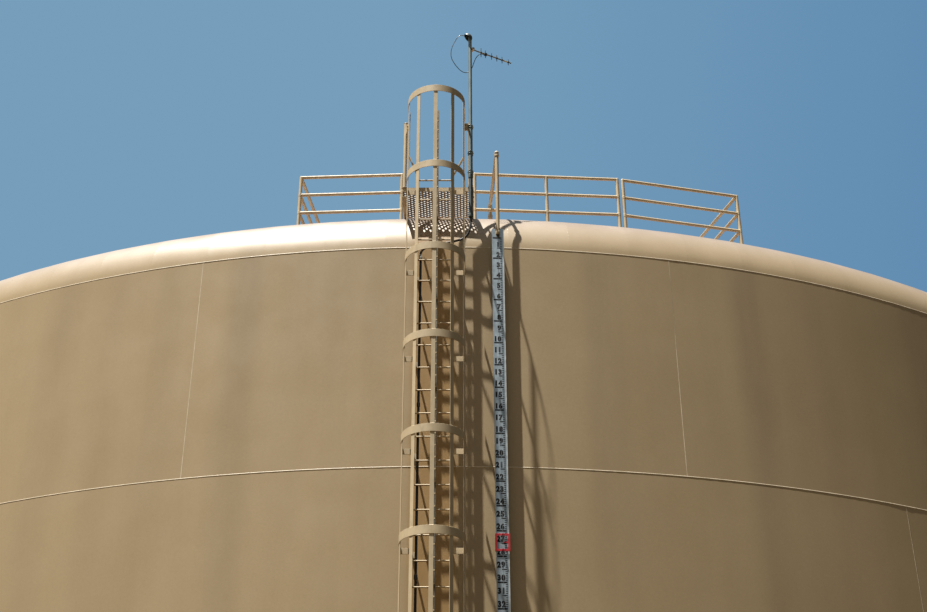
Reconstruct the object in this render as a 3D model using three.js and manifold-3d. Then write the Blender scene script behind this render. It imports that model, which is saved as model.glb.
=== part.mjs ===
// Welded steel storage tank with a rounded roof edge, a caged ladder, a landing,
// a roof railing, a level gauge with a sliding target, and a small aerial mast.
// Millimetres, +Z up. The origin is the centre of the bottom plate's underside.
// The ladder stands at the -Y side. A place on the tank is given by its angle from
// -Y towards +X, its distance out from the shell, and its height.
import * as THREE from 'three';
import { mergeVertices } from 'three/addons/utils/BufferGeometryUtils.js';
import Module from 'manifold-3d';

const wasm = await Module();
wasm.setup();

// Tank
const SHELL_RADIUS = 13716;
const BOTTOM_THICKNESS = 8;
const BOTTOM_PROJECTION = 50;
const COURSE_HEIGHTS = [2438.4, 2438.4, 3048, 3048];
const COURSE_THICKNESSES = [16, 13, 10, 8];
const KNUCKLE_PLATES = 108;
const SEAM_TURN = 0.64;
const ARCS = ['front', 'right', 'left'];
const KNUCKLE_RADIUS = 813;
const KNUCKLE_THICKNESS = 6.4;
const KNUCKLE_STEPS = 5;
const ROOF_SLOPE = 1 / 16;
const ROOF_THICKNESS = 5;
const WELD_GAP = 0.3;
const SEAT_DEPTH = 20;

// Roof fittings that stand out of the photograph's view
const VENT_NECK_RADIUS = 305;
const VENT_NECK_HEIGHT = 330;
const VENT_HOOD_RADIUS = 500;
const VENT_HOOD_RISE = 180;
const HATCH_SIZE = 762;
const HATCH_CURB_HEIGHT = 150;
const HATCH_LID_DEPTH = 60;
const HATCH_ANGLE = 9;
const HATCH_INSET = 1950;
const MANWAY_BORE = 610;
const MANWAY_FLANGE = 832;
const MANWAY_REACH = 230;
const MANWAY_PLATE = 19;
const MANWAY_ANGLE = 38.57;
const MANWAY_HEIGHT = 760;

// Ladder
const RUNG_PITCH = 304.8;
const RUNG_COUNT = 39;
const TOP_RUNG = 11886;
const RUNG_RADIUS = 10;
const RUNG_SIDES = 6;
const RUNG_OUT = 200;
const RAIL_SPACING = 477;
const RAIL_WIDTH = 65;
const RAIL_THICKNESS = 10;
const RAIL_FOOT = 150;
const RAIL_TOP = 11940;
const BRACKET_COUNT = 8;
const BRACKET_HEIGHT = 70;
const BRACKET_PAD = 30;
const LUG_DROP = 20;
const FLARE_RISE = 310;
const CLIMB_RAIL_SHIFT = 18;
const CLIMB_RAIL_WIDTH = 50;
const CLIMB_RAIL_DEPTH = 22;
const CLIMB_RAIL_TOP = 13010;

// Cage
const CAGE_SHIFT = 15;
const CAGE_CENTRE_OUT = 449;
const CAGE_RADIUS = 376;
const CAGE_TOP = 12975;
const SECOND_HOOP = 11781;
const HOOP_PITCH = 1219.2;
const HOOP_DEPTH = 100;
const HOOP_COUNT = 9;
const HOOP_END_OUT = 150;
const CAGE_MOUTH = 2300;
const FLAT_THICKNESS = 6;
const CAGE_BAR_WIDTH = 50;
const CAGE_BAR_ANGLES = [-77, -37.5, 0, 36.5, 77];
const ARM_BAR_OUT = 290;

// Landing
const DECK_TOP = 11853;
const DECK_THICKNESS = 6;
const DECK_OUT = 84;
const DECK_IN = 660;
const DECK_SHIFT = 32;
const DECK_HALF_WIDTH = 468;
const FASCIA_DEPTH = 60;
const SIDE_DEPTH = 140;
const STRINGER_FLANGE = 50;
const GRAB_POSTS = { left: -410, right: 453 };
const GRAB_OUT = 60;
const GRAB_TOP = 12920;
const TAB_SPAN = [12712, 12822];
const TAB_OUT = 170;
const TAB_THICKNESS = 8;
const PIPE_RADIUS = 24;

// Railing: each panel's middle on the plan, its turn from the X axis, its length and its posts
const RAILING_TOP = 12858;
const RAILING_PITCH = 300;
const RAILING_PIPE = 24;
const RAILING_PANELS = {
  left: { centre: [-1235, -12618], turn: -2.3, length: 1443, posts: 2 },
  middle: { centre: [1538, -12577], turn: 4.3, length: 2043, posts: 3 },
  right: { centre: [3488, -12265], turn: 14.2, length: 1753, posts: 2 },
};
const RAILING_RETURNS = { left: { side: -1, turn: -6.2 }, right: { side: 1, turn: 17.7 } };
const RETURN_LENGTH = 1524;
const RETURN_CLEARANCE = 2;
const POST_PLATE = [54, 110];
const POST_PLATE_THICKNESS = 12;

// Level gauge
const GAUGE_ANGLE = 3.35;
const GAUGE_ZERO = 11060;
const GAUGE_PITCH = 152.4;
const GAUGE_LAST = 36;
const BOARD_WIDTH = 152;
const BOARD_FACE_OUT = 115;
const BOARD_DEPTH = 36;
const BOARD_THICKNESS = 4;
const BOARD_ABOVE = 140;
const BOARD_BELOW = 60;
const BOARD_BRACKETS = 7;
const WIRE_OUT = 143;
const WIRE_RADIUS = 2;
const GUIDE_RADIUS = 24;
const GUIDE_MOUTH = 11088;
const GUIDE_TOP = 12378;
const GUIDE_REACH = 1273;
const GUIDE_COUPLINGS = [[12300, 12352], [12145, 12225]];
const TARGET_MARK = 26.93;
const TARGET_WIDTH = 172;
const TARGET_HEIGHT = 210;
const TARGET_BAR = 25;
const TARGET_PLATE = 6;
const POINTER_HEIGHT = 12;
const TARGET_CLEARANCE = 8;
const SLIDE_CLEARANCE = 5;

// Mast, aerial and conduit
const MAST_X = 463;
const MAST_OUT = 180;
const MAST_FOOT = 11310;
const MAST_SPLICE = 11980;
const MAST_TOP = 14168;
const SLEEVE_TOP = 12790;
const SLEEVE_RADIUS = 28;
const MAST_CLAMPS = [12335, 12028];
const HOOD_RADIUS = 66;
const HOOD_CENTRE = [429, 14302];
const BOOM_HEIGHT = 14110;
const BOOM_CLAMP = [34, 19];
const BOOM_LENGTH = 658;
const BOOM_TURN = 29;
const ELEMENT_PLACES = [175, 246, 344, 428, 513, 614];
const ELEMENT_LENGTHS = [157, 134, 116, 112, 110, 103];
const RISER_X = -177;
const RISER_TOP = 10760;
const RISER_RADIUS = 16;
const COUPLING_HEIGHTS = [8658, 6526, 3499, 478];
const FLEX_RADIUS = 14;
const COAX_RADIUS = 5;

const SHELL_TOP = BOTTOM_THICKNESS + COURSE_HEIGHTS.reduce((sum, height) => sum + height, 0);
const RUNG_FOOT = TOP_RUNG - RUNG_PITCH * (RUNG_COUNT - 1);

function steel(colour, roughness = 0.55, metalness = 0.1) {
  return new THREE.MeshStandardMaterial({ color: colour, roughness, metalness });
}

const tankPaint = steel(0xb09c7a);
const knucklePaint = steel(0xc9b595);
const ladderPaint = steel(0xa39374);
const galvanised = steel(0x9aa19f, 0.45, 0.8);
const boardAluminium = steel(0x9fb0bc, 0.4, 0.7);
const wireSteel = steel(0xb8bec2, 0.35, 0.9);
const blackPlastic = steel(0x1d1f21, 0.6, 0);
const targetRed = steel(0xb5202a, 0.5, 0.05);

const root = new THREE.Group();

function radians(degrees) {
  return THREE.MathUtils.degToRad(degrees);
}

// A frame that stands on the shell at an angle: +X along the wall, -Y away from it.
function wallFrame(angle) {
  const turn = new THREE.Group();
  turn.rotation.z = radians(angle);
  const frame = new THREE.Group();
  frame.position.y = -SHELL_RADIUS;
  turn.add(frame);
  root.add(turn);
  return frame;
}

function toSolid(geometry) {
  const bare = geometry.clone();
  bare.deleteAttribute('normal');
  bare.deleteAttribute('uv');
  const welded = mergeVertices(bare, 1e-3);
  const solid = new wasm.Manifold(new wasm.Mesh({
    numProp: 3,
    vertProperties: new Float32Array(welded.attributes.position.array),
    triVerts: new Uint32Array(welded.index.array),
  }));
  return solid;
}

function toGeometry(solid) {
  const mesh = solid.getMesh();
  const geometry = new THREE.BufferGeometry();
  geometry.setAttribute('position', new THREE.BufferAttribute(mesh.vertProperties, 3));
  geometry.setIndex(new THREE.BufferAttribute(mesh.triVerts, 1));
  const flat = geometry.toNonIndexed();
  flat.computeVertexNormals();
  return flat;
}

function join(solids) {
  return solids.reduce((whole, solid) => whole.add(solid));
}

function add(parent, name, shape, material) {
  const geometry = shape.isBufferGeometry ? shape : toGeometry(shape);
  const mesh = new THREE.Mesh(geometry, material);
  mesh.name = name;
  parent.add(mesh);
  return mesh;
}

function block([x0, x1], [y0, y1], [z0, z1]) {
  const box = new THREE.BoxGeometry(x1 - x0, y1 - y0, z1 - z0);
  box.translate((x0 + x1) / 2, (y0 + y1) / 2, (z0 + z1) / 2);
  return toSolid(box);
}

function rod(from, to, radius, sides = 8) {
  const start = new THREE.Vector3(...from);
  const end = new THREE.Vector3(...to);
  const along = end.clone().sub(start);
  const cylinder = new THREE.CylinderGeometry(radius, radius, along.length(), sides);
  const turn = new THREE.Quaternion().setFromUnitVectors(new THREE.Vector3(0, 1, 0), along.normalize());
  cylinder.applyQuaternion(turn);
  cylinder.translate(...start.add(end).multiplyScalar(0.5));
  return toSolid(cylinder);
}

function ball([x, y, z], radius, sides = 10) {
  const sphere = new THREE.SphereGeometry(radius, sides, Math.ceil(sides * 0.6));
  sphere.rotateX(Math.PI / 2);
  sphere.translate(x, y, z);
  return toSolid(sphere);
}

// An outline in the X-Y plane, raised between two heights.
function raised(points, low, high) {
  const shape = new THREE.Shape(points.map(([x, y]) => new THREE.Vector2(x, y)));
  const geometry = new THREE.ExtrudeGeometry(shape, { depth: high - low, bevelEnabled: false });
  geometry.translate(0, 0, low);
  return toSolid(geometry);
}

// An outline in the X-Z plane, with its thickness between two values of Y.
function upright(points, near, far) {
  const shape = new THREE.Shape(points.map(([x, z]) => new THREE.Vector2(x, z)));
  const geometry = new THREE.ExtrudeGeometry(shape, { depth: far - near, bevelEnabled: false });
  geometry.rotateX(Math.PI / 2);
  geometry.translate(0, far, 0);
  return toSolid(geometry);
}

// A profile of [radius, height] points turned all the way round the tank's axis.
function revolved(profile, sides, start = 0) {
  const points = profile.map(([radius, height]) => new THREE.Vector2(radius, height));
  const geometry = new THREE.LatheGeometry(points, sides, radians(start));
  geometry.rotateX(Math.PI / 2);
  return toSolid(geometry);
}

// A closed profile of [radius, height] points swept part of the way round the axis.
function sweptArc(profile, startAngle, endAngle, steps) {
  const outline = profile.map(([radius, height]) => new THREE.Vector2(radius, height));
  if (THREE.ShapeUtils.isClockWise(outline)) outline.reverse();
  const positions = [];
  for (let step = 0; step <= steps; step += 1) {
    const angle = radians(startAngle + ((endAngle - startAngle) * step) / steps);
    for (const point of outline) {
      positions.push(point.x * Math.sin(angle), -point.x * Math.cos(angle), point.y);
    }
  }
  const index = [];
  const ring = outline.length;
  for (let step = 0; step < steps; step += 1) {
    for (let corner = 0; corner < ring; corner += 1) {
      const here = step * ring + corner;
      const next = step * ring + ((corner + 1) % ring);
      index.push(here, here + ring, next, next, here + ring, next + ring);
    }
  }
  const last = steps * ring;
  for (const [a, b, c] of THREE.ShapeUtils.triangulateShape(outline, [])) {
    index.push(a, b, c, last + c, last + b, last + a);
  }
  const geometry = new THREE.BufferGeometry();
  geometry.setAttribute('position', new THREE.Float32BufferAttribute(positions, 3));
  geometry.setIndex(index);
  geometry.computeVertexNormals();
  return geometry;
}

// The outline of a flat strip of even thickness that follows a path of [x, y] points.
function stripOutline(path, thickness) {
  const points = path.map(([x, y]) => new THREE.Vector2(x, y));
  const side = (sign) => points.map((point, i) => {
    const before = points[Math.max(i - 1, 0)];
    const after = points[Math.min(i + 1, points.length - 1)];
    const inward = (i > 0 ? point.clone().sub(before) : after.clone().sub(point)).normalize();
    const onward = (i < points.length - 1 ? after.clone().sub(point) : inward.clone()).normalize();
    const mitre = inward.clone().add(onward).normalize();
    const reach = (sign * thickness) / 2 / mitre.dot(onward);
    return [point.x - mitre.y * reach, point.y + mitre.x * reach];
  });
  return [...side(1), ...side(-1).reverse()];
}

// A round bar or tube along a smooth path, with flat ends.
function cable(points, radius, sides, steps) {
  const knots = points.map((point) => new THREE.Vector3(...point));
  const path = new THREE.CatmullRomCurve3(knots, false, 'centripetal');
  const section = new THREE.Shape();
  for (let i = 0; i < sides; i += 1) {
    const angle = (i / sides) * 2 * Math.PI;
    const corner = [radius * Math.cos(angle), radius * Math.sin(angle)];
    if (i === 0) section.moveTo(...corner);
    else section.lineTo(...corner);
  }
  section.closePath();
  return toSolid(new THREE.ExtrudeGeometry(section, { steps, extrudePath: path, bevelEnabled: false }));
}

// Heights of the roof's outer surface and of the knuckle.
const knuckleEnd = Math.PI / 2 - Math.atan(ROOF_SLOPE);
const coneRadius = SHELL_RADIUS - KNUCKLE_RADIUS + KNUCKLE_RADIUS * Math.cos(knuckleEnd);
const coneFoot = SHELL_TOP + KNUCKLE_RADIUS * Math.sin(knuckleEnd);
const coneApex = coneFoot + coneRadius * ROOF_SLOPE;

function roofHeight(radius) {
  return coneApex - radius * ROOF_SLOPE;
}

function knuckleArc(radius) {
  const points = [];
  for (let step = 0; step <= KNUCKLE_STEPS; step += 1) {
    const angle = (knuckleEnd * step) / KNUCKLE_STEPS;
    points.push([
      SHELL_RADIUS - KNUCKLE_RADIUS + radius * Math.cos(angle),
      SHELL_TOP + radius * Math.sin(angle),
    ]);
  }
  return points;
}

// The whole tank's outer form, a little enlarged, which fittings are cut back from.
const seatForm = revolved([
  [0, -SEAT_DEPTH],
  [SHELL_RADIUS + WELD_GAP, -SEAT_DEPTH],
  ...knuckleArc(KNUCKLE_RADIUS + WELD_GAP),
  [0, coneApex + WELD_GAP],
], KNUCKLE_PLATES, SEAM_TURN);

function seated(solid, angle) {
  const form = seatForm.rotate([0, 0, -angle]).translate([0, SHELL_RADIUS, 0]);
  return solid.subtract(form);
}

// The same for a solid in a frame that stands at a place on the plan and is turned there.
function seatedAt(solid, [x, y], turn) {
  return solid.subtract(seatForm.translate([-x, -y, 0]).rotate([0, 0, -turn]));
}

function addBottomAndShell() {
  const bottom = revolved([
    [0, 0],
    [SHELL_RADIUS + BOTTOM_PROJECTION, 0],
    [SHELL_RADIUS + BOTTOM_PROJECTION, BOTTOM_THICKNESS],
    [0, BOTTOM_THICKNESS],
  ], KNUCKLE_PLATES, SEAM_TURN);
  add(root, 'bottom_plate', bottom, tankPaint);
  const arcSpan = 360 / ARCS.length;
  const gapAngle = THREE.MathUtils.radToDeg(WELD_GAP / SHELL_RADIUS);
  ARCS.forEach((arc, i) => {
    const start = SEAM_TURN + arcSpan * (i - 0.5);
    const end = start + arcSpan - gapAngle;
    const steps = KNUCKLE_PLATES / ARCS.length;
    let base = BOTTOM_THICKNESS;
    COURSE_HEIGHTS.forEach((height, course) => {
      const inner = SHELL_RADIUS - COURSE_THICKNESSES[course];
      const profile = [
        [inner, base + WELD_GAP],
        [SHELL_RADIUS, base + WELD_GAP],
        [SHELL_RADIUS, base + height],
        [inner, base + height],
      ];
      add(root, `shell_course_${course + 1}_${arc}`, sweptArc(profile, start, end, steps), tankPaint);
      base += height;
    });
    const outer = knuckleArc(KNUCKLE_RADIUS);
    outer[0][1] += WELD_GAP;
    const inside = knuckleArc(KNUCKLE_RADIUS - KNUCKLE_THICKNESS);
    inside[0][1] += WELD_GAP;
    const knuckle = [...outer, ...inside.reverse()];
    add(root, `roof_knuckle_${arc}`, sweptArc(knuckle, start, end, steps), knucklePaint);
  });
}

function addRoof() {
  const edge = coneRadius - KNUCKLE_THICKNESS * Math.cos(knuckleEnd) - WELD_GAP;
  const cone = revolved([
    [0, coneApex - ROOF_THICKNESS],
    [edge, roofHeight(edge) - ROOF_THICKNESS],
    [edge, roofHeight(edge)],
    [0, coneApex],
  ], KNUCKLE_PLATES, SEAM_TURN);
  add(root, 'roof_cone', cone, tankPaint);

  const hoodFoot = coneApex + VENT_NECK_HEIGHT;
  const vent = revolved([
    [0, coneApex - SEAT_DEPTH],
    [VENT_NECK_RADIUS, coneApex - VENT_NECK_RADIUS * ROOF_SLOPE - SEAT_DEPTH],
    [VENT_NECK_RADIUS, hoodFoot],
    [VENT_HOOD_RADIUS, hoodFoot - VENT_HOOD_RISE / 3],
    [VENT_HOOD_RADIUS, hoodFoot],
    [0, hoodFoot + VENT_HOOD_RISE],
  ], 24);
  add(root, 'roof_vent', vent.subtract(seatForm), tankPaint);

  const frame = wallFrame(HATCH_ANGLE);
  const half = HATCH_SIZE / 2;
  const hatchRoof = roofHeight(SHELL_RADIUS - HATCH_INSET);
  const curbTop = hatchRoof + HATCH_CURB_HEIGHT;
  const wall = 10;
  const lip = 25;
  const curbOuter = block([-half, half], [HATCH_INSET - half, HATCH_INSET + half], [hatchRoof - 60, curbTop]);
  const inner = half - wall;
  const curbHole = block(
    [-inner, inner],
    [HATCH_INSET - inner, HATCH_INSET + inner],
    [hatchRoof - 100, curbTop + 10],
  );
  const curb = seated(curbOuter.subtract(curbHole), HATCH_ANGLE);
  add(frame, 'roof_hatch_curb', curb, ladderPaint);
  const reach = half + lip;
  const lidTop = curbTop + WELD_GAP + wall;
  const lidOuter = block(
    [-reach, reach],
    [HATCH_INSET - reach, HATCH_INSET + reach],
    [lidTop - HATCH_LID_DEPTH, lidTop],
  );
  const clear = half + WELD_GAP;
  const lidHollow = block(
    [-clear, clear],
    [HATCH_INSET - clear, HATCH_INSET + clear],
    [lidTop - HATCH_LID_DEPTH - 1, lidTop - wall],
  );
  add(frame, 'roof_hatch_lid', lidOuter.subtract(lidHollow), ladderPaint);
}

function addManway() {
  const frame = wallFrame(MANWAY_ANGLE);
  const bore = MANWAY_BORE / 2;
  const flange = MANWAY_FLANGE / 2;
  const neck = bore + 13;
  const tube = rod([0, SEAT_DEPTH, MANWAY_HEIGHT], [0, -MANWAY_REACH, MANWAY_HEIGHT], neck, 24);
  const ring = rod(
    [0, MANWAY_PLATE - MANWAY_REACH, MANWAY_HEIGHT],
    [0, -MANWAY_REACH, MANWAY_HEIGHT],
    flange,
    24,
  );
  const hole = rod([0, 2 * SEAT_DEPTH, MANWAY_HEIGHT], [0, -MANWAY_REACH - 10, MANWAY_HEIGHT], bore, 24);
  add(frame, 'manway_neck', seated(tube.add(ring).subtract(hole), MANWAY_ANGLE), tankPaint);
  const face = -MANWAY_REACH - WELD_GAP;
  const cover = rod([0, face, MANWAY_HEIGHT], [0, face - MANWAY_PLATE, MANWAY_HEIGHT], flange, 24);
  add(frame, 'manway_cover', cover, tankPaint);
}

function hoopTops() {
  const tops = [CAGE_TOP];
  for (let i = 0; i < HOOP_COUNT - 1; i += 1) tops.push(SECOND_HOOP - i * HOOP_PITCH);
  tops.push(CAGE_MOUTH);
  return tops;
}

function addLadder() {
  const frame = wallFrame(0);
  const halfRail = RAIL_SPACING / 2;
  const railNear = -RUNG_OUT + RAIL_WIDTH / 2;
  const railFar = -RUNG_OUT - RAIL_WIDTH / 2;
  const lugFaces = [-RUNG_OUT - RAIL_THICKNESS / 2, -RUNG_OUT + RAIL_THICKNESS / 2];
  const armInside = CAGE_RADIUS - FLAT_THICKNESS - WELD_GAP;
  const tops = hoopTops();
  const pieces = [];
  for (const side of [-1, 1]) {
    const outside = side * halfRail;
    const inside = side * (halfRail - RAIL_THICKNESS);
    const faces = [outside, inside].sort((a, b) => a - b);
    pieces.push(block(faces, [railFar, railNear], [RAIL_FOOT, RAIL_TOP]));
    for (const top of tops.slice(1)) {
      const lug = [inside, side * armInside + CAGE_SHIFT].sort((a, b) => a - b);
      const foot = top - HOOP_DEPTH - LUG_DROP;
      pieces.push(block(lug, lugFaces, [foot, foot + BRACKET_HEIGHT]));
    }
    for (let i = 0; i < BRACKET_COUNT; i += 1) {
      const foot = SECOND_HOOP - (i + 1) * HOOP_PITCH - HOOP_DEPTH;
      const span = [foot, foot + BRACKET_HEIGHT];
      const pad = [outside, side * (halfRail - RAIL_THICKNESS - BRACKET_PAD)].sort((a, b) => a - b);
      pieces.push(block(faces, [railNear - 1, SEAT_DEPTH], span));
      pieces.push(block(pad, [-RAIL_THICKNESS, SEAT_DEPTH], span));
    }
  }
  for (let i = 0; i < RUNG_COUNT; i += 1) {
    const height = RUNG_FOOT + i * RUNG_PITCH;
    const reach = halfRail - RAIL_THICKNESS / 2;
    pieces.push(rod([-reach, -RUNG_OUT, height], [reach, -RUNG_OUT, height], RUNG_RADIUS, RUNG_SIDES));
  }
  add(frame, 'ladder', seated(join(pieces), 0), ladderPaint);

  const straight = 20;
  for (const [name, side] of [['left', -1], ['right', 1]]) {
    const lower = side * (halfRail - RAIL_THICKNESS / 2);
    const upper = side * (armInside - RAIL_THICKNESS / 2) + CAGE_SHIFT;
    const path = [
      [lower, RAIL_TOP + WELD_GAP],
      [lower, RAIL_TOP + straight],
      [upper, RAIL_TOP + straight + FLARE_RISE],
      [upper, CAGE_TOP],
    ];
    const bar = upright(stripOutline(path, RAIL_THICKNESS), railFar, railNear);
    add(frame, `rail_extension_${name}`, bar, ladderPaint);
  }

  const rungFlat = RUNG_RADIUS * Math.cos(Math.PI / RUNG_SIDES);
  const climbNear = -RUNG_OUT - rungFlat - WELD_GAP;
  const climbRail = block(
    [CLIMB_RAIL_SHIFT - CLIMB_RAIL_WIDTH / 2, CLIMB_RAIL_SHIFT + CLIMB_RAIL_WIDTH / 2],
    [climbNear - CLIMB_RAIL_DEPTH, climbNear],
    [RUNG_FOOT - 2 * CLIMB_RAIL_DEPTH, CLIMB_RAIL_TOP],
  );
  add(frame, 'climb_rail', climbRail, galvanised);
}

function cagePoint(angle, radius) {
  const turn = radians(angle);
  return [radius * Math.sin(turn), -CAGE_CENTRE_OUT - radius * Math.cos(turn)];
}

// The corners of a hoop's rounded front: at each bar and half way to the next.
function hoopAngles() {
  const stops = [-90, ...CAGE_BAR_ANGLES, 90];
  return stops.flatMap((angle, i) => (i === 0 ? [angle] : [(stops[i - 1] + angle) / 2, angle]));
}

// One hoop: a half circle with two straight arms that run back past the ladder's rails.
function hoop(top) {
  const radius = CAGE_RADIUS - FLAT_THICKNESS / 2;
  const path = hoopAngles().map((angle) => cagePoint(angle, radius));
  path.unshift([-radius, -HOOP_END_OUT]);
  path.push([radius, -HOOP_END_OUT]);
  return raised(stripOutline(path, FLAT_THICKNESS), top - HOOP_DEPTH, top);
}

function addCage() {
  const frame = wallFrame(0);
  const cage = new THREE.Group();
  cage.position.x = CAGE_SHIFT;
  frame.add(cage);
  const tops = hoopTops();
  const fusion = 0.5;
  const barRadius = CAGE_RADIUS - FLAT_THICKNESS * 1.5 + fusion / 2;
  const places = CAGE_BAR_ANGLES.map((angle) => [angle, ...cagePoint(angle, barRadius)]);
  for (const side of [-1, 1]) places.push([side * 90, side * barRadius, -ARM_BAR_OUT]);
  const sections = [['cage_top', 0, 3], ['cage_middle', 3, 6], ['cage_lower', 6, tops.length]];
  for (const [name, first, end] of sections) {
    const pieces = [];
    for (let i = first; i < end; i += 1) pieces.push(hoop(tops[i]));
    const foot = end < tops.length ? tops[end] + WELD_GAP : CAGE_MOUTH - HOOP_DEPTH;
    for (const [angle, x, y] of places) {
      const bar = new THREE.BoxGeometry(CAGE_BAR_WIDTH, FLAT_THICKNESS + fusion, tops[first] - foot);
      bar.rotateZ(radians(angle));
      bar.translate(x, y, (tops[first] + foot) / 2);
      pieces.push(toSolid(bar));
    }
    add(cage, name, join(pieces), ladderPaint);
  }
}

function addLanding() {
  const frame = wallFrame(0);
  const left = DECK_SHIFT - DECK_HALF_WIDTH;
  const right = DECK_SHIFT + DECK_HALF_WIDTH;
  const t = DECK_THICKNESS;
  const foot = DECK_TOP - SIDE_DEPTH;
  const front = [-DECK_OUT, -DECK_OUT + t];
  const along = [-DECK_OUT, DECK_IN];
  const pieces = [
    block([left, right], along, [DECK_TOP - t, DECK_TOP]),
    block([left, right], front, [DECK_TOP - FASCIA_DEPTH, DECK_TOP]),
    block([left, left + t], along, [foot, DECK_TOP]),
    block([right - t, right], along, [foot, DECK_TOP]),
    block([left, left + STRINGER_FLANGE], along, [foot, foot + t]),
    block([right - STRINGER_FLANGE, right], along, [foot, foot + t]),
  ];
  add(frame, 'landing_platform', seated(join(pieces), 0), ladderPaint);
  const extensionFace = CAGE_RADIUS - FLAT_THICKNESS;
  for (const [name, x] of Object.entries(GRAB_POSTS)) {
    const side = Math.sign(x);
    const faceX = CAGE_SHIFT + side * extensionFace;
    const tabPath = [[x, -GRAB_OUT], [x - side * 26, -TAB_OUT], [faceX, -TAB_OUT]];
    const post = join([
      rod([x, -GRAB_OUT, DECK_TOP + WELD_GAP], [x, -GRAB_OUT, GRAB_TOP], PIPE_RADIUS, 10),
      raised(stripOutline(tabPath, TAB_THICKNESS), ...TAB_SPAN),
    ]);
    add(frame, `grab_post_${name}`, post, ladderPaint);
  }
}

// A frame at a place on the plan, turned about its upright axis.
function planFrame([x, y], turn) {
  const frame = new THREE.Group();
  frame.position.set(x, y, 0);
  frame.rotation.z = radians(turn);
  root.add(frame);
  return frame;
}

function onPlan([x, y], turn, along, inward) {
  const angle = radians(turn);
  return [
    x + along * Math.cos(angle) - inward * Math.sin(angle),
    y + along * Math.sin(angle) + inward * Math.cos(angle),
  ];
}

// A post on the sloping roof with its foot plate, at a place in a frame on the plan.
function railingPost(along, inward, centre, turn) {
  const [halfX, halfY] = POST_PLATE.map((size) => size / 2);
  const foot = roofHeight(Math.hypot(...onPlan(centre, turn, along, inward)));
  const low = foot - SEAT_DEPTH;
  return join([
    rod([along, inward, low], [along, inward, RAILING_TOP + RAILING_PIPE], RAILING_PIPE),
    block(
      [along - halfX, along + halfX],
      [inward - halfY, inward + halfY],
      [low, foot + POST_PLATE_THICKNESS],
    ),
  ]);
}

function railHeights() {
  return [0, 1, 2].map((i) => RAILING_TOP - i * RAILING_PITCH);
}

function addRailing() {
  const railRadius = RAILING_PIPE - 1;
  for (const [name, { centre, turn, length, posts }] of Object.entries(RAILING_PANELS)) {
    const frame = planFrame(centre, turn);
    const half = length / 2;
    const pieces = [];
    for (let i = 0; i < posts; i += 1) {
      pieces.push(railingPost(-half + (length * i) / (posts - 1), 0, centre, turn));
    }
    for (const z of railHeights()) pieces.push(rod([-half, 0, z], [half, 0, z], railRadius));
    add(frame, `railing_${name}`, seatedAt(join(pieces), centre, turn), ladderPaint);
  }
  for (const [name, { side, turn }] of Object.entries(RAILING_RETURNS)) {
    const panel = RAILING_PANELS[name];
    const corner = onPlan(panel.centre, panel.turn, (side * panel.length) / 2, 0);
    const frame = planFrame(corner, turn);
    const start = RAILING_PIPE + RETURN_CLEARANCE;
    const end = start + RETURN_LENGTH;
    const pieces = [railingPost(0, end, corner, turn)];
    for (const z of railHeights()) pieces.push(rod([0, start, z], [0, end, z], railRadius));
    add(frame, `railing_return_${name}`, seatedAt(join(pieces), corner, turn), ladderPaint);
  }
}

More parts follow.
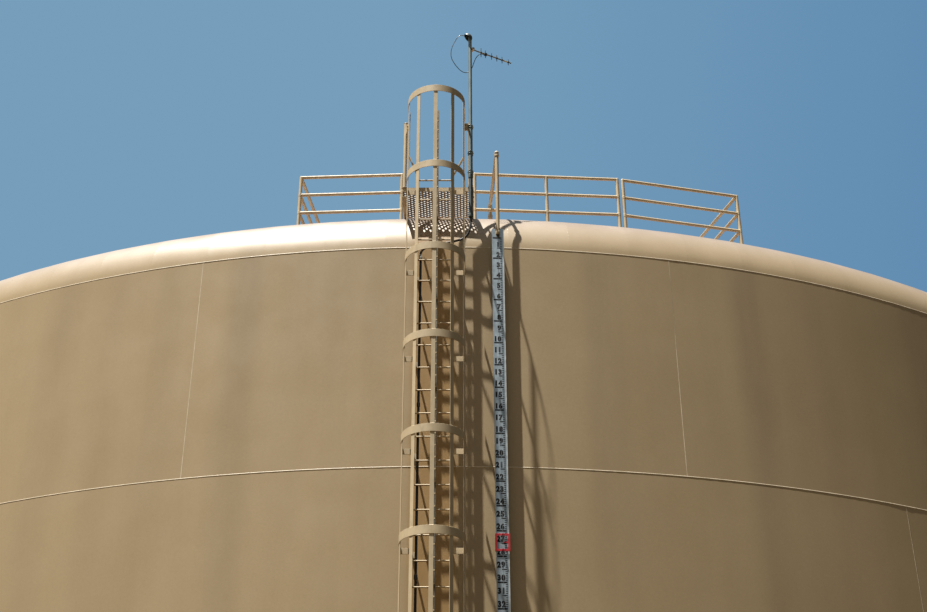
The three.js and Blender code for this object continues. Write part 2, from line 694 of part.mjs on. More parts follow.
function addGauge() {
  const frame = wallFrame(GAUGE_ANGLE);
  const half = BOARD_WIDTH / 2;
  const top = GAUGE_ZERO + BOARD_ABOVE;
  const foot = GAUGE_ZERO - GAUGE_LAST * GAUGE_PITCH - BOARD_BELOW;
  const back = -BOARD_FACE_OUT + BOARD_DEPTH;
  const t = BOARD_THICKNESS;
  const board = [
    block([-half, half], [-BOARD_FACE_OUT, -BOARD_FACE_OUT + t], [foot, top]),
    block([-half, -half + t], [-BOARD_FACE_OUT, back], [foot, top]),
    block([half - t, half], [-BOARD_FACE_OUT, back], [foot, top]),
  ];
  const bracketHalf = 30;
  const bracketDepth = 40;
  const bracketInset = 100;
  const span = SHELL_TOP - 2 * bracketInset - foot;
  for (let i = 0; i < BOARD_BRACKETS; i += 1) {
    const z = foot + bracketInset + (span * i) / (BOARD_BRACKETS - 1);
    const heights = [z, z + bracketDepth];
    board.push(block([-bracketHalf, bracketHalf], [-BOARD_FACE_OUT + t / 2, SEAT_DEPTH], heights));
  }
  add(frame, 'gauge_board', seated(join(board), GAUGE_ANGLE), boardAluminium);

  const y = -WIRE_OUT;
  const inner = GUIDE_REACH - WIRE_OUT;
  const roof = roofHeight(SHELL_RADIUS - inner);
  const collar = GUIDE_RADIUS + 3;
  const coupling = GUIDE_RADIUS + 7;
  const pipe = join([
    rod([0, y, GUIDE_MOUTH], [0, y, GUIDE_TOP], GUIDE_RADIUS),
    rod([0, y, GUIDE_MOUTH + 6], [0, y, GUIDE_MOUTH + 60], collar),
    ball([0, y, GUIDE_TOP], coupling),
    rod([0, y, GUIDE_TOP], [0, inner, GUIDE_TOP], GUIDE_RADIUS),
    ball([0, inner, GUIDE_TOP], coupling),
    rod([0, inner, GUIDE_TOP], [0, inner, roof - SEAT_DEPTH], GUIDE_RADIUS),
    ...GUIDE_COUPLINGS.map(([low, high]) => rod([0, inner, low], [0, inner, high], coupling)),
    rod([0, inner, roof - SEAT_DEPTH], [0, inner, roof + 15], GUIDE_RADIUS + 35),
  ]);
  const bore = rod([0, y, GUIDE_MOUTH - 10], [0, y, GUIDE_MOUTH + 120], GUIDE_RADIUS - 6);
  add(frame, 'gauge_guide_pipe', seated(pipe.subtract(bore), GAUGE_ANGLE), ladderPaint);

  const anchorTop = foot + 46;
  const wire = join([
    rod([0, y, anchorTop - 8], [0, y, GUIDE_MOUTH + 100], WIRE_RADIUS),
    block([-8, 8], [y - 8, -BOARD_FACE_OUT - WELD_GAP], [anchorTop - 24, anchorTop]),
  ]);
  add(frame, 'gauge_wire', wire, wireSteel);

  const centre = GAUGE_ZERO - TARGET_MARK * GAUGE_PITCH;
  const wide = TARGET_WIDTH / 2;
  const tall = TARGET_HEIGHT / 2;
  const rear = -BOARD_FACE_OUT - TARGET_CLEARANCE;
  const front = rear - TARGET_PLATE;
  const plate = block([-wide, wide], [front, rear], [centre - tall, centre + tall]);
  const window = block(
    [-wide + TARGET_BAR, wide - TARGET_BAR],
    [front - 1, rear + 1],
    [centre - tall + TARGET_BAR, centre + tall - TARGET_BAR],
  );
  const pointer = block(
    [WIRE_RADIUS + SLIDE_CLEARANCE, wide - TARGET_BAR + 1],
    [front, rear],
    [centre - POINTER_HEIGHT / 2, centre + POINTER_HEIGHT / 2],
  );
  const parts = [plate.subtract(window), pointer];
  const cheek = half + SLIDE_CLEARANCE;
  for (const side of [-1, 1]) {
    const faces = [side * cheek, side * wide].sort((a, b) => a - b);
    parts.push(block(faces, [rear - 1, rear + 34], [centre - tall, centre + tall]));
    const eyeZ = centre + side * (tall - TARGET_BAR / 2);
    parts.push(block([-9, 9], [y - 9, rear - 1], [eyeZ - 6, eyeZ + 6]));
  }
  const eye = WIRE_RADIUS + 0.5;
  const slot = block([-eye, eye], [y - eye, y + eye], [centre - tall - 10, centre + tall + 10]);
  add(frame, 'level_target', join(parts).subtract(slot), targetRed);
}

function addMast() {
  const frame = wallFrame(0);
  const x = MAST_X;
  const y = -MAST_OUT;
  const postX = GRAB_POSTS.right;
  const postFront = -GRAB_OUT - PIPE_RADIUS - WELD_GAP;
  const tabStart = CAGE_SHIFT + CAGE_RADIUS - FLAT_THICKNESS;
  const mast = [
    rod([x, y, MAST_SPLICE + WELD_GAP], [x, y, MAST_TOP], PIPE_RADIUS, 10),
    rod([x, y, MAST_SPLICE + WELD_GAP], [x, y, SLEEVE_TOP], SLEEVE_RADIUS, 10),
    block([tabStart, x], [y - 4, y + 4], TAB_SPAN),
  ];
  const clampHalf = 16;
  const clampBack = y + PIPE_RADIUS + 8;
  for (const z of MAST_CLAMPS) {
    const heights = [z - clampHalf, z + clampHalf];
    mast.push(block([x - 32, x + 32], [y - PIPE_RADIUS - 8, clampBack], heights));
    mast.push(block([postX - clampHalf, postX + clampHalf], [clampBack - 1, postFront], heights));
  }
  add(frame, 'mast', join(mast), galvanised);

  const lower = join([
    rod([x, y, MAST_FOOT + 60], [x, y, MAST_SPLICE], PIPE_RADIUS + 3, 10),
    rod([x, y, MAST_FOOT], [x, y, MAST_FOOT + 80], PIPE_RADIUS + 10, 10),
    block([x - 30, x + 30], [y, -DECK_OUT - WELD_GAP], [DECK_TOP - 55, DECK_TOP - 15]),
  ]);
  add(frame, 'mast_lower_conduit', lower, blackPlastic);

  const [hoodX, hoodZ] = HOOD_CENTRE;
  const behindMouth = new THREE.BoxGeometry(4 * HOOD_RADIUS, 4 * HOOD_RADIUS, 2 * HOOD_RADIUS);
  behindMouth.translate(0, 0, HOOD_RADIUS);
  behindMouth.rotateY(Math.PI / 4);
  behindMouth.translate(hoodX, y, hoodZ);
  const hood = ball([hoodX, y, hoodZ], HOOD_RADIUS, 12).intersect(toSolid(behindMouth));
  const neck = rod([x, y, MAST_TOP + WELD_GAP], [x, y, hoodZ], PIPE_RADIUS - 1, 10);
  const head = hood.add(neck);
  add(frame, 'weatherhead', head, blackPlastic);

  const aerial = new THREE.Group();
  aerial.position.set(x, y, BOOM_HEIGHT);
  aerial.rotation.z = radians(BOOM_TURN);
  frame.add(aerial);
  const start = PIPE_RADIUS + WELD_GAP;
  const antenna = [rod([start, 0, 0], [BOOM_LENGTH, 0, 0], 9)];
  const [clampWide, clampTall] = BOOM_CLAMP;
  antenna.push(block([start, start + 30], [-clampWide, clampWide], [-clampTall, clampTall]));
  ELEMENT_PLACES.forEach((place, i) => {
    const half = ELEMENT_LENGTHS[i] / 2;
    antenna.push(rod([place, 0, -half], [place, 0, half], 5, 6));
  });
  add(aerial, 'aerial', join(antenna), galvanised);

  // The riser stands against the backs of the rungs.
  const riserY = -RUNG_OUT + RUNG_RADIUS * Math.cos(Math.PI / RUNG_SIDES) + WELD_GAP + RISER_RADIUS;
  const riser = [rod([RISER_X, riserY, RAIL_FOOT], [RISER_X, riserY, RISER_TOP], RISER_RADIUS)];
  for (const z of COUPLING_HEIGHTS) {
    riser.push(rod([RISER_X, riserY, z - 30], [RISER_X, riserY, z + 30], RISER_RADIUS + 5));
  }
  const connector = [RISER_TOP - 65, RISER_TOP - 5];
  const [low, high] = connector.map((z) => [RISER_X, riserY, z]);
  riser.push(rod(low, high, RISER_RADIUS + 8));
  add(frame, 'conduit_riser', join(riser), blackPlastic);

  const flex = cable([
    [x, y, MAST_FOOT - WELD_GAP],
    [x, y, MAST_FOOT - 45],
    [458, -180, 11195],
    [441, -178, 11115],
    [408, -172, 11051],
    [352, -162, 11006],
    [275, -151, 10983],
    [180, -149, 10961],
    [86, -151, 10938],
    [7, -154, 10916],
    [-45, -158, 10899],
    [-92, -162, 10881],
    [-130, -167, 10858],
    [-155, -171, 10832],
    [-170, -174, 10804],
    [RISER_X, riserY, RISER_TOP + 15],
    [RISER_X, riserY, RISER_TOP + WELD_GAP],
  ], FLEX_RADIUS, 8, 26);
  add(frame, 'flexible_conduit', flex, blackPlastic);

  const coax = cable([
    [385, -180, 14338],
    [367, -180, 14347],
    [345, -180, 14351],
    [319, -180, 14342],
    [287, -180, 14310],
    [249, -180, 14231],
    [215, -180, 14144],
    [199, -180, 14048],
    [207, -180, 13948],
    [241, -180, 13862],
    [289, -176, 13785],
    [340, -168, 13730],
    [395, -157, 13709],
    [448, -147, 13735],
    [485, -139, 13799],
    [511, -130, 13887],
    [535, -125, 13968],
    [570, -118, 14036],
    [611, -109, 14071],
    [660, -87, 14085],
  ], COAX_RADIUS, 8, 52);
  add(frame, 'coax_loop', coax, blackPlastic);
}

addBottomAndShell();
addRoof();
addManway();
addLadder();
addCage();
addLanding();
addRailing();
addGauge();
addMast();

export default root;
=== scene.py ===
"""A welded steel storage tank: plates, weld seams, ladder and cage, landing, railing and level gauge.

Metres, +Z up. The origin is the centre of the bottom plate's underside, and the ladder stands at the
-Y side. A place on the wall is given by its angle from -Y towards +X, then by x along the wall,
y into the tank and z up, in the frame that wall() gives.
"""
from math import asin, atan, copysign, cos, degrees, exp, pi, radians, sin, sqrt

import bmesh
import bpy
from mathutils import Matrix, Vector
from mathutils.geometry import interpolate_bezier


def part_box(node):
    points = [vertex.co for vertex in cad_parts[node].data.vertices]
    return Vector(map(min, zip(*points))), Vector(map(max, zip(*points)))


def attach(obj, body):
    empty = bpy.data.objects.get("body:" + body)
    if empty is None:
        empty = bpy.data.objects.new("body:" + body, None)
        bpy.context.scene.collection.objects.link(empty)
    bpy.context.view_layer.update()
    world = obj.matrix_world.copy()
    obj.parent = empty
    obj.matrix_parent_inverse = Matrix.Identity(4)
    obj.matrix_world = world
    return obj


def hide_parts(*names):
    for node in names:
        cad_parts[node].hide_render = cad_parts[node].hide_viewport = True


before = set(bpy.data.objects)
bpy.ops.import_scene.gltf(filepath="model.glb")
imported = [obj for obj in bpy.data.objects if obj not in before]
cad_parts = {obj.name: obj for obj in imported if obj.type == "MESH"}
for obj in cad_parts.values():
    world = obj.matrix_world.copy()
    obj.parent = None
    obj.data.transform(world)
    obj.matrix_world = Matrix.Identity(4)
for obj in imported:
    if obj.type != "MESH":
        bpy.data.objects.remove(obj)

bl_info = {
    "name": "Welded storage tank",
    "version": (1, 0, 0),
    "blender": (4, 5, 0),
    "location": "View3D > Sidebar > Tank",
    "description": "Plates, seams, ladder steel and level gauge of a welded storage tank",
    "category": "Object",
}

# Directions, and the clearance between pieces that only stand against each other
UP = (0, 0, 1)
OUT = (0, -1, 0)
GAP = 0.0003

# Tank
SHELL_RADIUS = 13.716
COURSES = (1, 2, 3, 4)
COURSE_THICKNESSES = (0.016, 0.013, 0.010, 0.008)
ARCS = ("front", "right", "left")
SHELL_PLATES = 14
PLATE_TURN = 360 / SHELL_PLATES
FIRST_SEAMS = (0.0, 12.857, 0.0, 12.857)
PETALS = 108
PETAL_TURN = 360 / PETALS
PETAL_START = 0.64
KNUCKLE_RADIUS = 0.813
KNUCKLE_THICKNESS = 0.0064
ROOF_SLOPE = 1 / 16
ROOF_THICKNESS = 0.005
ROOF_RINGS = (9.0, 4.6)
RADIAL_SEAMS = 36
SHELL_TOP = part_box("shell_course_4_front")[1].z

# Places of the roof hatch and the shell manway
HATCH_ANGLE = 9.0
HATCH_IN = 1.950
MANWAY_ANGLE = 38.57
MANWAY_HEIGHT = 0.760

# Ladder and cage
RUNG_PITCH = 0.3048
RUNG_COUNT = 39
TOP_RUNG = 11.886
RUNG_OUT = 0.200
RAIL_HALF = 0.2385
RAIL_WIDTH = 0.065
RAIL_THICKNESS = 0.010
BRACKET_COUNT = 8
BRACKET_HEIGHT = 0.070
BRACKET_PAD = 0.030
LUG_DROP = 0.020
CAGE_SHIFT = 0.015
CAGE_OUT = 0.449
CAGE_RADIUS = 0.376
CAGE_TOP = 12.975
SECOND_HOOP = 11.781
HOOP_PITCH = 1.2192
HOOP_DEPTH = 0.100
HOOP_COUNT = 9
HOOP_END_OUT = 0.150
CAGE_MOUTH = 2.300
HOOP_TOPS = (CAGE_TOP, *(SECOND_HOOP - i * HOOP_PITCH for i in range(HOOP_COUNT - 1)), CAGE_MOUTH)
FLAT = 0.006
BAR_WIDTH = 0.050
BAR_ANGLES = (-77, -37.5, 0, 36.5, 77)
ARM_BAR_OUT = 0.290

# Landing
DECK_TOP = 11.853
DECK_OUT = 0.084
DECK_IN = 0.660
DECK_LEFT = -0.436
DECK_RIGHT = 0.500
FASCIA_DEPTH = 0.060
SIDE_DEPTH = 0.140
GRAB_POSTS = {"left": -0.410, "right": 0.453}
GRAB_OUT = 0.060
GRAB_TOP = 12.920
TAB_SPAN = (12.712, 12.822)
TAB_OUT = 0.170
POST_RADIUS = 0.024

# Railing: each panel's middle on the plan, its turn from the X axis, its length and its posts
RAILING_TOP = 12.858
RAILING_PITCH = 0.300
RAILING_PIPE = 0.024
RAILING_PANELS = {
    "left": ((-1.235, -12.618), -2.3, 1.443, 2),
    "middle": ((1.538, -12.577), 4.3, 2.043, 3),
    "right": ((3.488, -12.265), 14.2, 1.753, 2),
}
RAILING_RETURNS = {"left": (-1, -6.2), "right": (1, 17.7)}
RETURN_LENGTH = 1.524
RETURN_GAP = 0.026

# Level gauge
GAUGE_ANGLE = 3.35
GAUGE_ZERO = 11.060
GAUGE_PITCH = 0.1524
GAUGE_LAST = 36
HALF_BOARD = 0.076
BOARD_OUT = 0.115
BOARD_DEPTH = 0.036
WIRE_OUT = 0.143
GUIDE_MOUTH = 11.088
GUIDE_TOP = 12.378
GUIDE_IN = 1.130
GUIDE_RADIUS = 0.024
GUIDE_COUPLINGS = ((12.300, 12.352), (12.145, 12.225))

# Mast and conduit
MAST_X = 0.463
MAST_OUT = 0.180
MAST_FOOT = 11.310
MAST_SPLICE = 11.980
MAST_TOP = 14.168
SLEEVE_TOP = 12.790
SLEEVE_RADIUS = 0.028
MAST_CLAMPS = (12.335, 12.028)
HOOD_RADIUS = 0.066
HOOD_CENTRE = (0.429, 14.302)
BOOM_HEIGHT = 14.110
BOOM_LENGTH = 0.658
BOOM_TURN = 29
ELEMENT_PLACES = (0.175, 0.246, 0.344, 0.428, 0.513, 0.614)
ELEMENT_LENGTHS = (0.157, 0.134, 0.116, 0.112, 0.110, 0.103)
RISER_X = -0.177
RISER_OUT = 0.17504
RISER_TOP = 10.760
RISER_RADIUS = 0.016
COUPLING_HEIGHTS = (8.658, 6.526, 3.499, 0.478)
FLEX_DIAMETER = 0.028
COAX_DIAMETER = 0.010

# Photograph's view
CAMERA_PLACE = (0.4639, -28.8889, 1.5605)
CAMERA_HEADING = 0.3755
CAMERA_PITCH = 119.397
CAMERA_ROLL = -0.106
CAMERA_LENS = 53.716

# Light
SUN_ENERGY = 10.8
SUN_COLOUR = (1.0, 0.965, 0.90)
SUN_ANGLE = 0.6
BACKDROP_LEFT = (0.184, 0.342, 0.497)
BACKDROP_RIGHT = (0.120, 0.262, 0.440)
LIGHT_ABOVE = (0.062, 0.069, 0.072)
LIGHT_ZENITH = (0.450, 0.495, 0.515)
LIGHT_BELOW = (0.190, 0.131, 0.056)
LIGHT_TURN = (-0.821, -0.571, 0.0)

# Dirt runs down the shell: angle, half width in degrees, darkness
DIRT_RUNS = (
    (-38.5, 0.7, 0.12), (-29.6, 0.5, 0.08), (-21.1, 0.8, 0.09), (-17.9, 0.5, 0.04), (-14.6, 0.6, 0.06),
    (-10.3, 0.7, 0.14), (-5.0, 0.6, 0.05), (-2.9, 0.5, 0.06), (9.0, 0.9, 0.13), (17.2, 0.7, 0.19),
    (21.5, 0.6, 0.04), (28.4, 0.7, 0.10), (36.8, 0.6, 0.15), (52.0, 0.8, 0.10),
)
# Cleaner bands between the runs: angle, half width in degrees, gain
CLEAN_BANDS = ((-19.3, 0.7, 0.05), (-11.6, 0.6, 0.06), (-8.6, 0.6, 0.06), (15.7, 0.6, 0.07))


class TankSettings(bpy.types.PropertyGroup):
    """Sizes and colours that a user would change."""

    paint: bpy.props.FloatVectorProperty(
        name="Tank paint", description="Colour of the shell and roof", subtype="COLOR",
        size=3, min=0, max=1, default=(0.413, 0.313, 0.184))
    trim: bpy.props.FloatVectorProperty(
        name="Trim paint", description="Colour of ladder, cage and railing", subtype="COLOR",
        size=3, min=0, max=1, default=(0.485, 0.388, 0.247))
    rust: bpy.props.FloatVectorProperty(
        name="Rust", description="Colour of rust and rusty runs", subtype="COLOR",
        size=3, min=0, max=1, default=(0.330, 0.150, 0.055))
    target_red: bpy.props.FloatVectorProperty(
        name="Target red", description="Colour of the gauge target", subtype="COLOR",
        size=3, min=0, max=1, default=(0.430, 0.018, 0.028))
    bead_width: bpy.props.FloatProperty(
        name="Weld width", description="Width of the shell's weld beads", unit="LENGTH",
        default=0.016, min=0.004, max=0.05)
    bead_height: bpy.props.FloatProperty(
        name="Weld height", description="How far the weld beads stand out", unit="LENGTH",
        default=0.0024, min=0.001, max=0.01)
    ripple: bpy.props.FloatProperty(
        name="Plate ripple", description="How far the shell plates wander from a true circle",
        unit="LENGTH", default=0.004, min=0, max=0.01)
    dirt: bpy.props.FloatProperty(
        name="Dirt", description="Strength of the dirt runs", default=1.0, min=0, max=2)
    hole_pitch: bpy.props.FloatProperty(
        name="Deck hole pitch", description="Distance between the deck's holes", unit="LENGTH",
        default=0.048, min=0.03, max=0.1)
    hole_size: bpy.props.FloatProperty(
        name="Deck hole size", description="Diameter of the deck's holes at their foot", unit="LENGTH",
        default=0.025, min=0.01, max=0.08)
    digit_height: bpy.props.FloatProperty(
        name="Digit height", description="Height of the gauge numbers", unit="LENGTH",
        default=0.073, min=0.02, max=0.12)
    sun_azimuth: bpy.props.FloatProperty(
        name="Key azimuth", description="Degrees from -Y towards +X", default=-55.2)
    sun_elevation: bpy.props.FloatProperty(
        name="Key elevation", description="Degrees above the horizon", default=74.2)


def settings():
    return bpy.context.scene.tank_settings


def wall(angle=0.0, x=0.0, y=0.0, z=0.0):
    """The frame that stands on the shell at an angle: +X along the wall, -Y away from it."""
    turn = Matrix.Rotation(radians(angle), 4, "Z")
    return turn @ Matrix.Translation((x, y - SHELL_RADIUS, z))


def plan_frame(place, turn):
    """A frame at a place on the plan, turned about its upright axis."""
    return Matrix.Translation((*place, 0)) @ Matrix.Rotation(radians(turn), 4, "Z")


def on_tank(angle, radius, height):
    turn = radians(angle)
    return Vector((radius * sin(turn), -radius * cos(turn), height))


def ring_at(angle, section):
    """A section of (radius, height) pairs, stood at an angle round the tank."""
    return [on_tank(angle, radius, height) for radius, height in section]


KNUCKLE_END = pi / 2 - atan(ROOF_SLOPE)
CONE_RADIUS = SHELL_RADIUS - KNUCKLE_RADIUS + KNUCKLE_RADIUS * cos(KNUCKLE_END)
CONE_APEX = SHELL_TOP + KNUCKLE_RADIUS * sin(KNUCKLE_END) + CONE_RADIUS * ROOF_SLOPE


def roof_height(radius):
    return CONE_APEX - radius * ROOF_SLOPE


def knuckle_point(rise, proud=0.0):
    """Radius and height on the rounded roof edge, at an angle up from its foot."""
    reach = KNUCKLE_RADIUS + proud
    radius = SHELL_RADIUS - KNUCKLE_RADIUS + reach * cos(rise)
    return radius, SHELL_TOP + reach * sin(rise)


def ring_points(centre, across, up, radius, sides):
    turns = [2 * pi * i / sides for i in range(sides)]
    return [centre + across * (radius * cos(turn)) + up * (radius * sin(turn)) for turn in turns]


def square_to(direction):
    """Two unit vectors across a direction."""
    helper = Vector((0, 0, 1)) if abs(direction.z) < 0.9 else Vector((1, 0, 0))
    across = direction.cross(helper).normalized()
    return across, across.cross(direction).normalized()


def neighbours(path, i):
    return path[max(i - 1, 0)], path[min(i + 1, len(path) - 1)]


class Shape:
    """Closed solids gathered as points and faces, in metres."""

    def __init__(self, matrix=None):
        self.points, self.faces, self.slots = [], [], []
        self.matrix = matrix or Matrix()
        self.slot = 0

    def add(self, points, faces):
        start = len(self.points)
        self.points += [self.matrix @ Vector(point) for point in points]
        self.faces += [[start + i for i in face] for face in faces]
        self.slots += [self.slot] * len(faces)

    def loft(self, rings, closed=False):
        """A solid through rings of points, with flat ends unless it is closed on itself."""
        count, last = len(rings[0]), len(rings) - 1
        faces = []
        for i in range(last + closed):
            here, there = i * count, ((i + 1) % len(rings)) * count
            for j in range(count):
                k = (j + 1) % count
                faces.append((here + j, here + k, there + k, there + j))
        if not closed:
            faces.append(tuple(range(count))[::-1])
            faces.append(tuple(range(last * count, last * count + count)))
        self.add([point for ring in rings for point in ring], faces)

    def box(self, xs, ys, zs, bevel=0.0):
        (x0, x1), (y0, y1), (z0, z1) = sorted(xs), sorted(ys), sorted(zs)
        b = min(bevel, (x1 - x0) / 3, (y1 - y0) / 3, (z1 - z0) / 3)
        levels = ((z0, b), (z0 + b, 0), (z1 - b, 0), (z1, b)) if bevel else ((z0, 0), (z1, 0))
        rings = []
        for z, inset in levels:
            a0, a1, c0, c1 = x0 + inset, x1 - inset, y0 + inset, y1 - inset
            outline = ((a0, c0), (a1, c0), (a1, c1), (a0, c1))
            if bevel:
                outline = ((a0 + b, c0), (a1 - b, c0), (a1, c0 + b), (a1, c1 - b),
                           (a1 - b, c1), (a0 + b, c1), (a0, c1 - b), (a0, c0 + b))
            rings.append([Vector((x, y, z)) for x, y in outline])
        self.loft(rings)

    def rod(self, start, end, radius, sides=12, bevel=0.0):
        start, end = Vector(start), Vector(end)
        along = (end - start).normalized()
        across, up = square_to(along)
        stations = [(start, radius), (end, radius)]
        if bevel:
            stations = [(start, radius - bevel), (start + along * bevel, radius),
                        (end - along * bevel, radius), (end, radius - bevel)]
        self.loft([ring_points(centre, across, up, reach, sides) for centre, reach in stations])

    def turned(self, start, along, profile, sides=24):
        """A profile of (distance along, radius) turned about an axis."""
        start, along = Vector(start), Vector(along).normalized()
        across, up = square_to(along)
        self.loft([ring_points(start + along * d, across, up, r, sides) for d, r in profile])

    def disc(self, start, along, radius, depth, sides=24):
        self.turned(start, along, ((0, radius), (depth, radius)), sides)

    def ball(self, centre, radius, sides):
        steps = sides // 2
        turns = [pi * (0.04 + 0.92 * i / steps) for i in range(steps + 1)]
        self.turned(centre, UP, [(-radius * cos(turn), radius * sin(turn)) for turn in turns], sides)

    def tube(self, path, radius, sides=10):
        """A round bar along a path, with its section carried along without twist."""
        path = [Vector(point) for point in path]
        across, up = square_to((path[1] - path[0]).normalized())
        rings = []
        for i, centre in enumerate(path):
            before, after = neighbours(path, i)
            along = (after - before).normalized()
            across = (across - along * across.dot(along)).normalized()
            up = across.cross(along).normalized()
            rings.append(ring_points(centre, across, up, radius, sides))
        self.loft(rings)

    def strip(self, path, thickness, low, high, bevel=0.001):
        """A flat strip on edge: it follows (x, y) points and stands between two heights."""
        path = [Vector(point) for point in path]
        rings = []
        for i, point in enumerate(path):
            before, after = neighbours(path, i)
            inward = (point - before if i else after - point).normalized()
            onward = (after - point if i < len(path) - 1 else inward).normalized()
            mitre = (inward + onward).normalized()
            side = Vector((-mitre.y, mitre.x)) * (thickness / 2 / max(mitre.dot(onward), 0.3))
            edge = side * (1 - 2 * bevel / thickness)
            section = ((-side, low + bevel), (-edge, low), (edge, low), (side, low + bevel),
                       (side, high - bevel), (edge, high), (-edge, high), (-side, high - bevel))
            rings.append([Vector((*(point + offset), z)) for offset, z in section])
        self.loft(rings)

    def bead(self, path, normals, width, height):
        """A low rounded weld bead along a path, sunk a little into the plate."""
        half = width / 2
        section = ((-half, -0.004), (half, -0.004), (half * 0.86, height * 0.45),
                   (half * 0.42, height), (-half * 0.42, height), (-half * 0.86, height * 0.45))
        rings = []
        closed = (path[0] - path[-1]).length < 1e-6
        stations = path[:-1] if closed else path
        for i, point in enumerate(stations):
            before, after = neighbours(path, i)
            if closed:
                before, after = stations[i - 1], stations[(i + 1) % len(stations)]
            side = (after - before).normalized().cross(normals[i]).normalized()
            rings.append([point + side * s + normals[i] * n for s, n in section])
        self.loft(rings, closed)

    def bolt(self, place, out, size=0.010, head=0.007):
        """A hexagon head on a washer, standing out of a surface."""
        place, out = Vector(place), Vector(out).normalized()
        self.disc(place - out * 0.001, out, size * 1.5, 0.003, 12)
        self.turned(place, out, ((0, size), (head * 0.85, size), (head, size * 0.8)), 6)


def piece(name, shape, finishes, replaces=(), body="tank", crease=32.0):
    """Makes a mesh object of a shape, gives it its finishes and lets it ride on a body."""
    mesh = bpy.data.meshes.new(name)
    mesh.from_pydata(shape.points, [], shape.faces)
    mesh.polygons.foreach_set("material_index", shape.slots)
    edit = bmesh.new()
    edit.from_mesh(mesh)
    bmesh.ops.recalc_face_normals(edit, faces=edit.faces)
    for face in edit.faces:
        face.smooth = True
    for edge in edit.edges:
        edge.smooth = edge.calc_face_angle(pi) < radians(crease)
    edit.to_mesh(mesh)
    edit.free()
    finishes = finishes.split()
    for finish in finishes:
        mesh.materials.append(finish_of(finish))
    made = bpy.data.objects.new(name, mesh)
    bpy.context.scene.collection.objects.link(made)
    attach(made, body)
    if replaces:
        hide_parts(*replaces)


def dress(node, finish):
    """Gives a carried-over node its finish."""
    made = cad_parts[node]
    made.data.materials.clear()
    made.data.materials.append(finish_of(finish))


def mesh_of(curve, weld):
    """Points and faces of a filled curve, which is then taken away."""
    holder = bpy.data.objects.new(curve.name, curve)
    bpy.context.scene.collection.objects.link(holder)
    bpy.context.view_layer.update()
    mesh = bpy.data.meshes.new_from_object(holder.evaluated_get(bpy.context.evaluated_depsgraph_get()))
    edit = bmesh.new()
    edit.from_mesh(mesh)
    bmesh.ops.remove_doubles(edit, verts=edit.verts, dist=weld)
    points = [vertex.co.copy() for vertex in edit.verts]
    faces = [[vertex.index for vertex in face.verts] for face in edit.faces]
    edit.free()
    bpy.data.objects.remove(holder)
    bpy.data.curves.remove(curve)
    bpy.data.meshes.remove(mesh)
    return points, faces


class Graph:
    """Builds the nodes of a material, or of another thing that has nodes, in few words."""

    def __init__(self, name="", owner=None):
        self.owner = owner or bpy.data.materials.new(name)
        self.owner.use_nodes = True
        self.tree = self.owner.node_tree
        self.place = self.node("ShaderNodeTexCoord").outputs["Generated" if owner else "Object"]

    def feed(self, socket, value):
        if isinstance(value, bpy.types.NodeSocket):
            self.tree.links.new(value, socket)
        elif socket.type == "RGBA" and len(value) == 3:
            socket.default_value = (*value, 1.0)
        else:
            socket.default_value = value

    def node(self, kind, inputs=None, **choices):
        made = self.tree.nodes.new(kind)
        for key, value in choices.items():
            setattr(made, key, value)
        for key, value in (inputs or {}).items():
            self.feed(made.inputs[key], value)
        return made

    def math(self, operation, first, second=0.0):
        return self.node("ShaderNodeMath", {0: first, 1: second}, operation=operation).outputs[0]

    def times(self, first, second):
        return self.math("MULTIPLY", first, second)

    def split(self, vector):
        return self.node("ShaderNodeSeparateXYZ", {0: vector}).outputs

    def join(self, x, y, z):
        return self.node("ShaderNodeCombineXYZ", {0: x, 1: y, 2: z}).outputs[0]

    def scaled(self, vector, scale):
        return self.node("ShaderNodeVectorMath", {0: vector, 1: scale}, operation="MULTIPLY").outputs[0]

    def facing(self):
        """How far the surface faces up, from -1 to 1."""
        return self.split(self.node("ShaderNodeNewGeometry").outputs["Normal"])[2]

    def noise(self, scale, detail=4.0, roughness=0.55, place=None, stretch=None):
        """Noise at a place, drawn out along Z where stretch is under 1."""
        place = self.place if place is None else place
        if stretch:
            place = self.scaled(place, (1.0, 1.0, stretch))
        inputs = {"Vector": place, "Scale": scale, "Detail": detail, "Roughness": roughness}
        return self.node("ShaderNodeTexNoise", inputs).outputs["Fac"]

    def spread(self, value, low, high, to_low=0.0, to_high=1.0, smooth=True):
        """Maps a value's range to another, held at its ends."""
        inputs = {"Value": value, "From Min": low, "From Max": high, "To Min": to_low, "To Max": to_high}
        kind = "SMOOTHSTEP" if smooth else "LINEAR"
        return self.node("ShaderNodeMapRange", inputs, interpolation_type=kind).outputs["Result"]

    def cloud(self, scale, low, high, *detail, to=(0.0, 1.0), **where):
        """Patches of noise between two of its levels."""
        return self.spread(self.noise(scale, *detail, **where), low, high, *to)

    def mix(self, share, first, second, blend="MIX"):
        inputs = {0: share, 6: first, 7: second}
        return self.node("ShaderNodeMix", inputs, data_type="RGBA", blend_type=blend).outputs[2]

    def patches(self, tone, colour, strength, *cloud, **where):
        """Patches of a colour laid over a tone."""
        return self.mix(self.times(self.cloud(*cloud, **where), strength), tone, colour)

    def bump(self, height, strength, distance, **more):
        inputs = {"Height": height, "Strength": strength, "Distance": distance, **more}
        return self.node("ShaderNodeBump", inputs).outputs[0]

    def grain(self, scale, strength, depth, *detail):
        """A fine uneven skin."""
        return self.bump(self.noise(scale, *detail), strength, depth)

    def finish(self, colour, roughness, normal=None, **values):
        inputs = self.tree.nodes["Principled BSDF"].inputs
        self.feed(inputs["Base Color"], colour)
        self.feed(inputs["Roughness"], roughness)
        if normal is not None:
            self.feed(inputs["Normal"], normal)
        for key, value in values.items():
            self.feed(inputs[key.replace("_", " ").title().replace("Ior", "IOR")], value)
        return self.owner


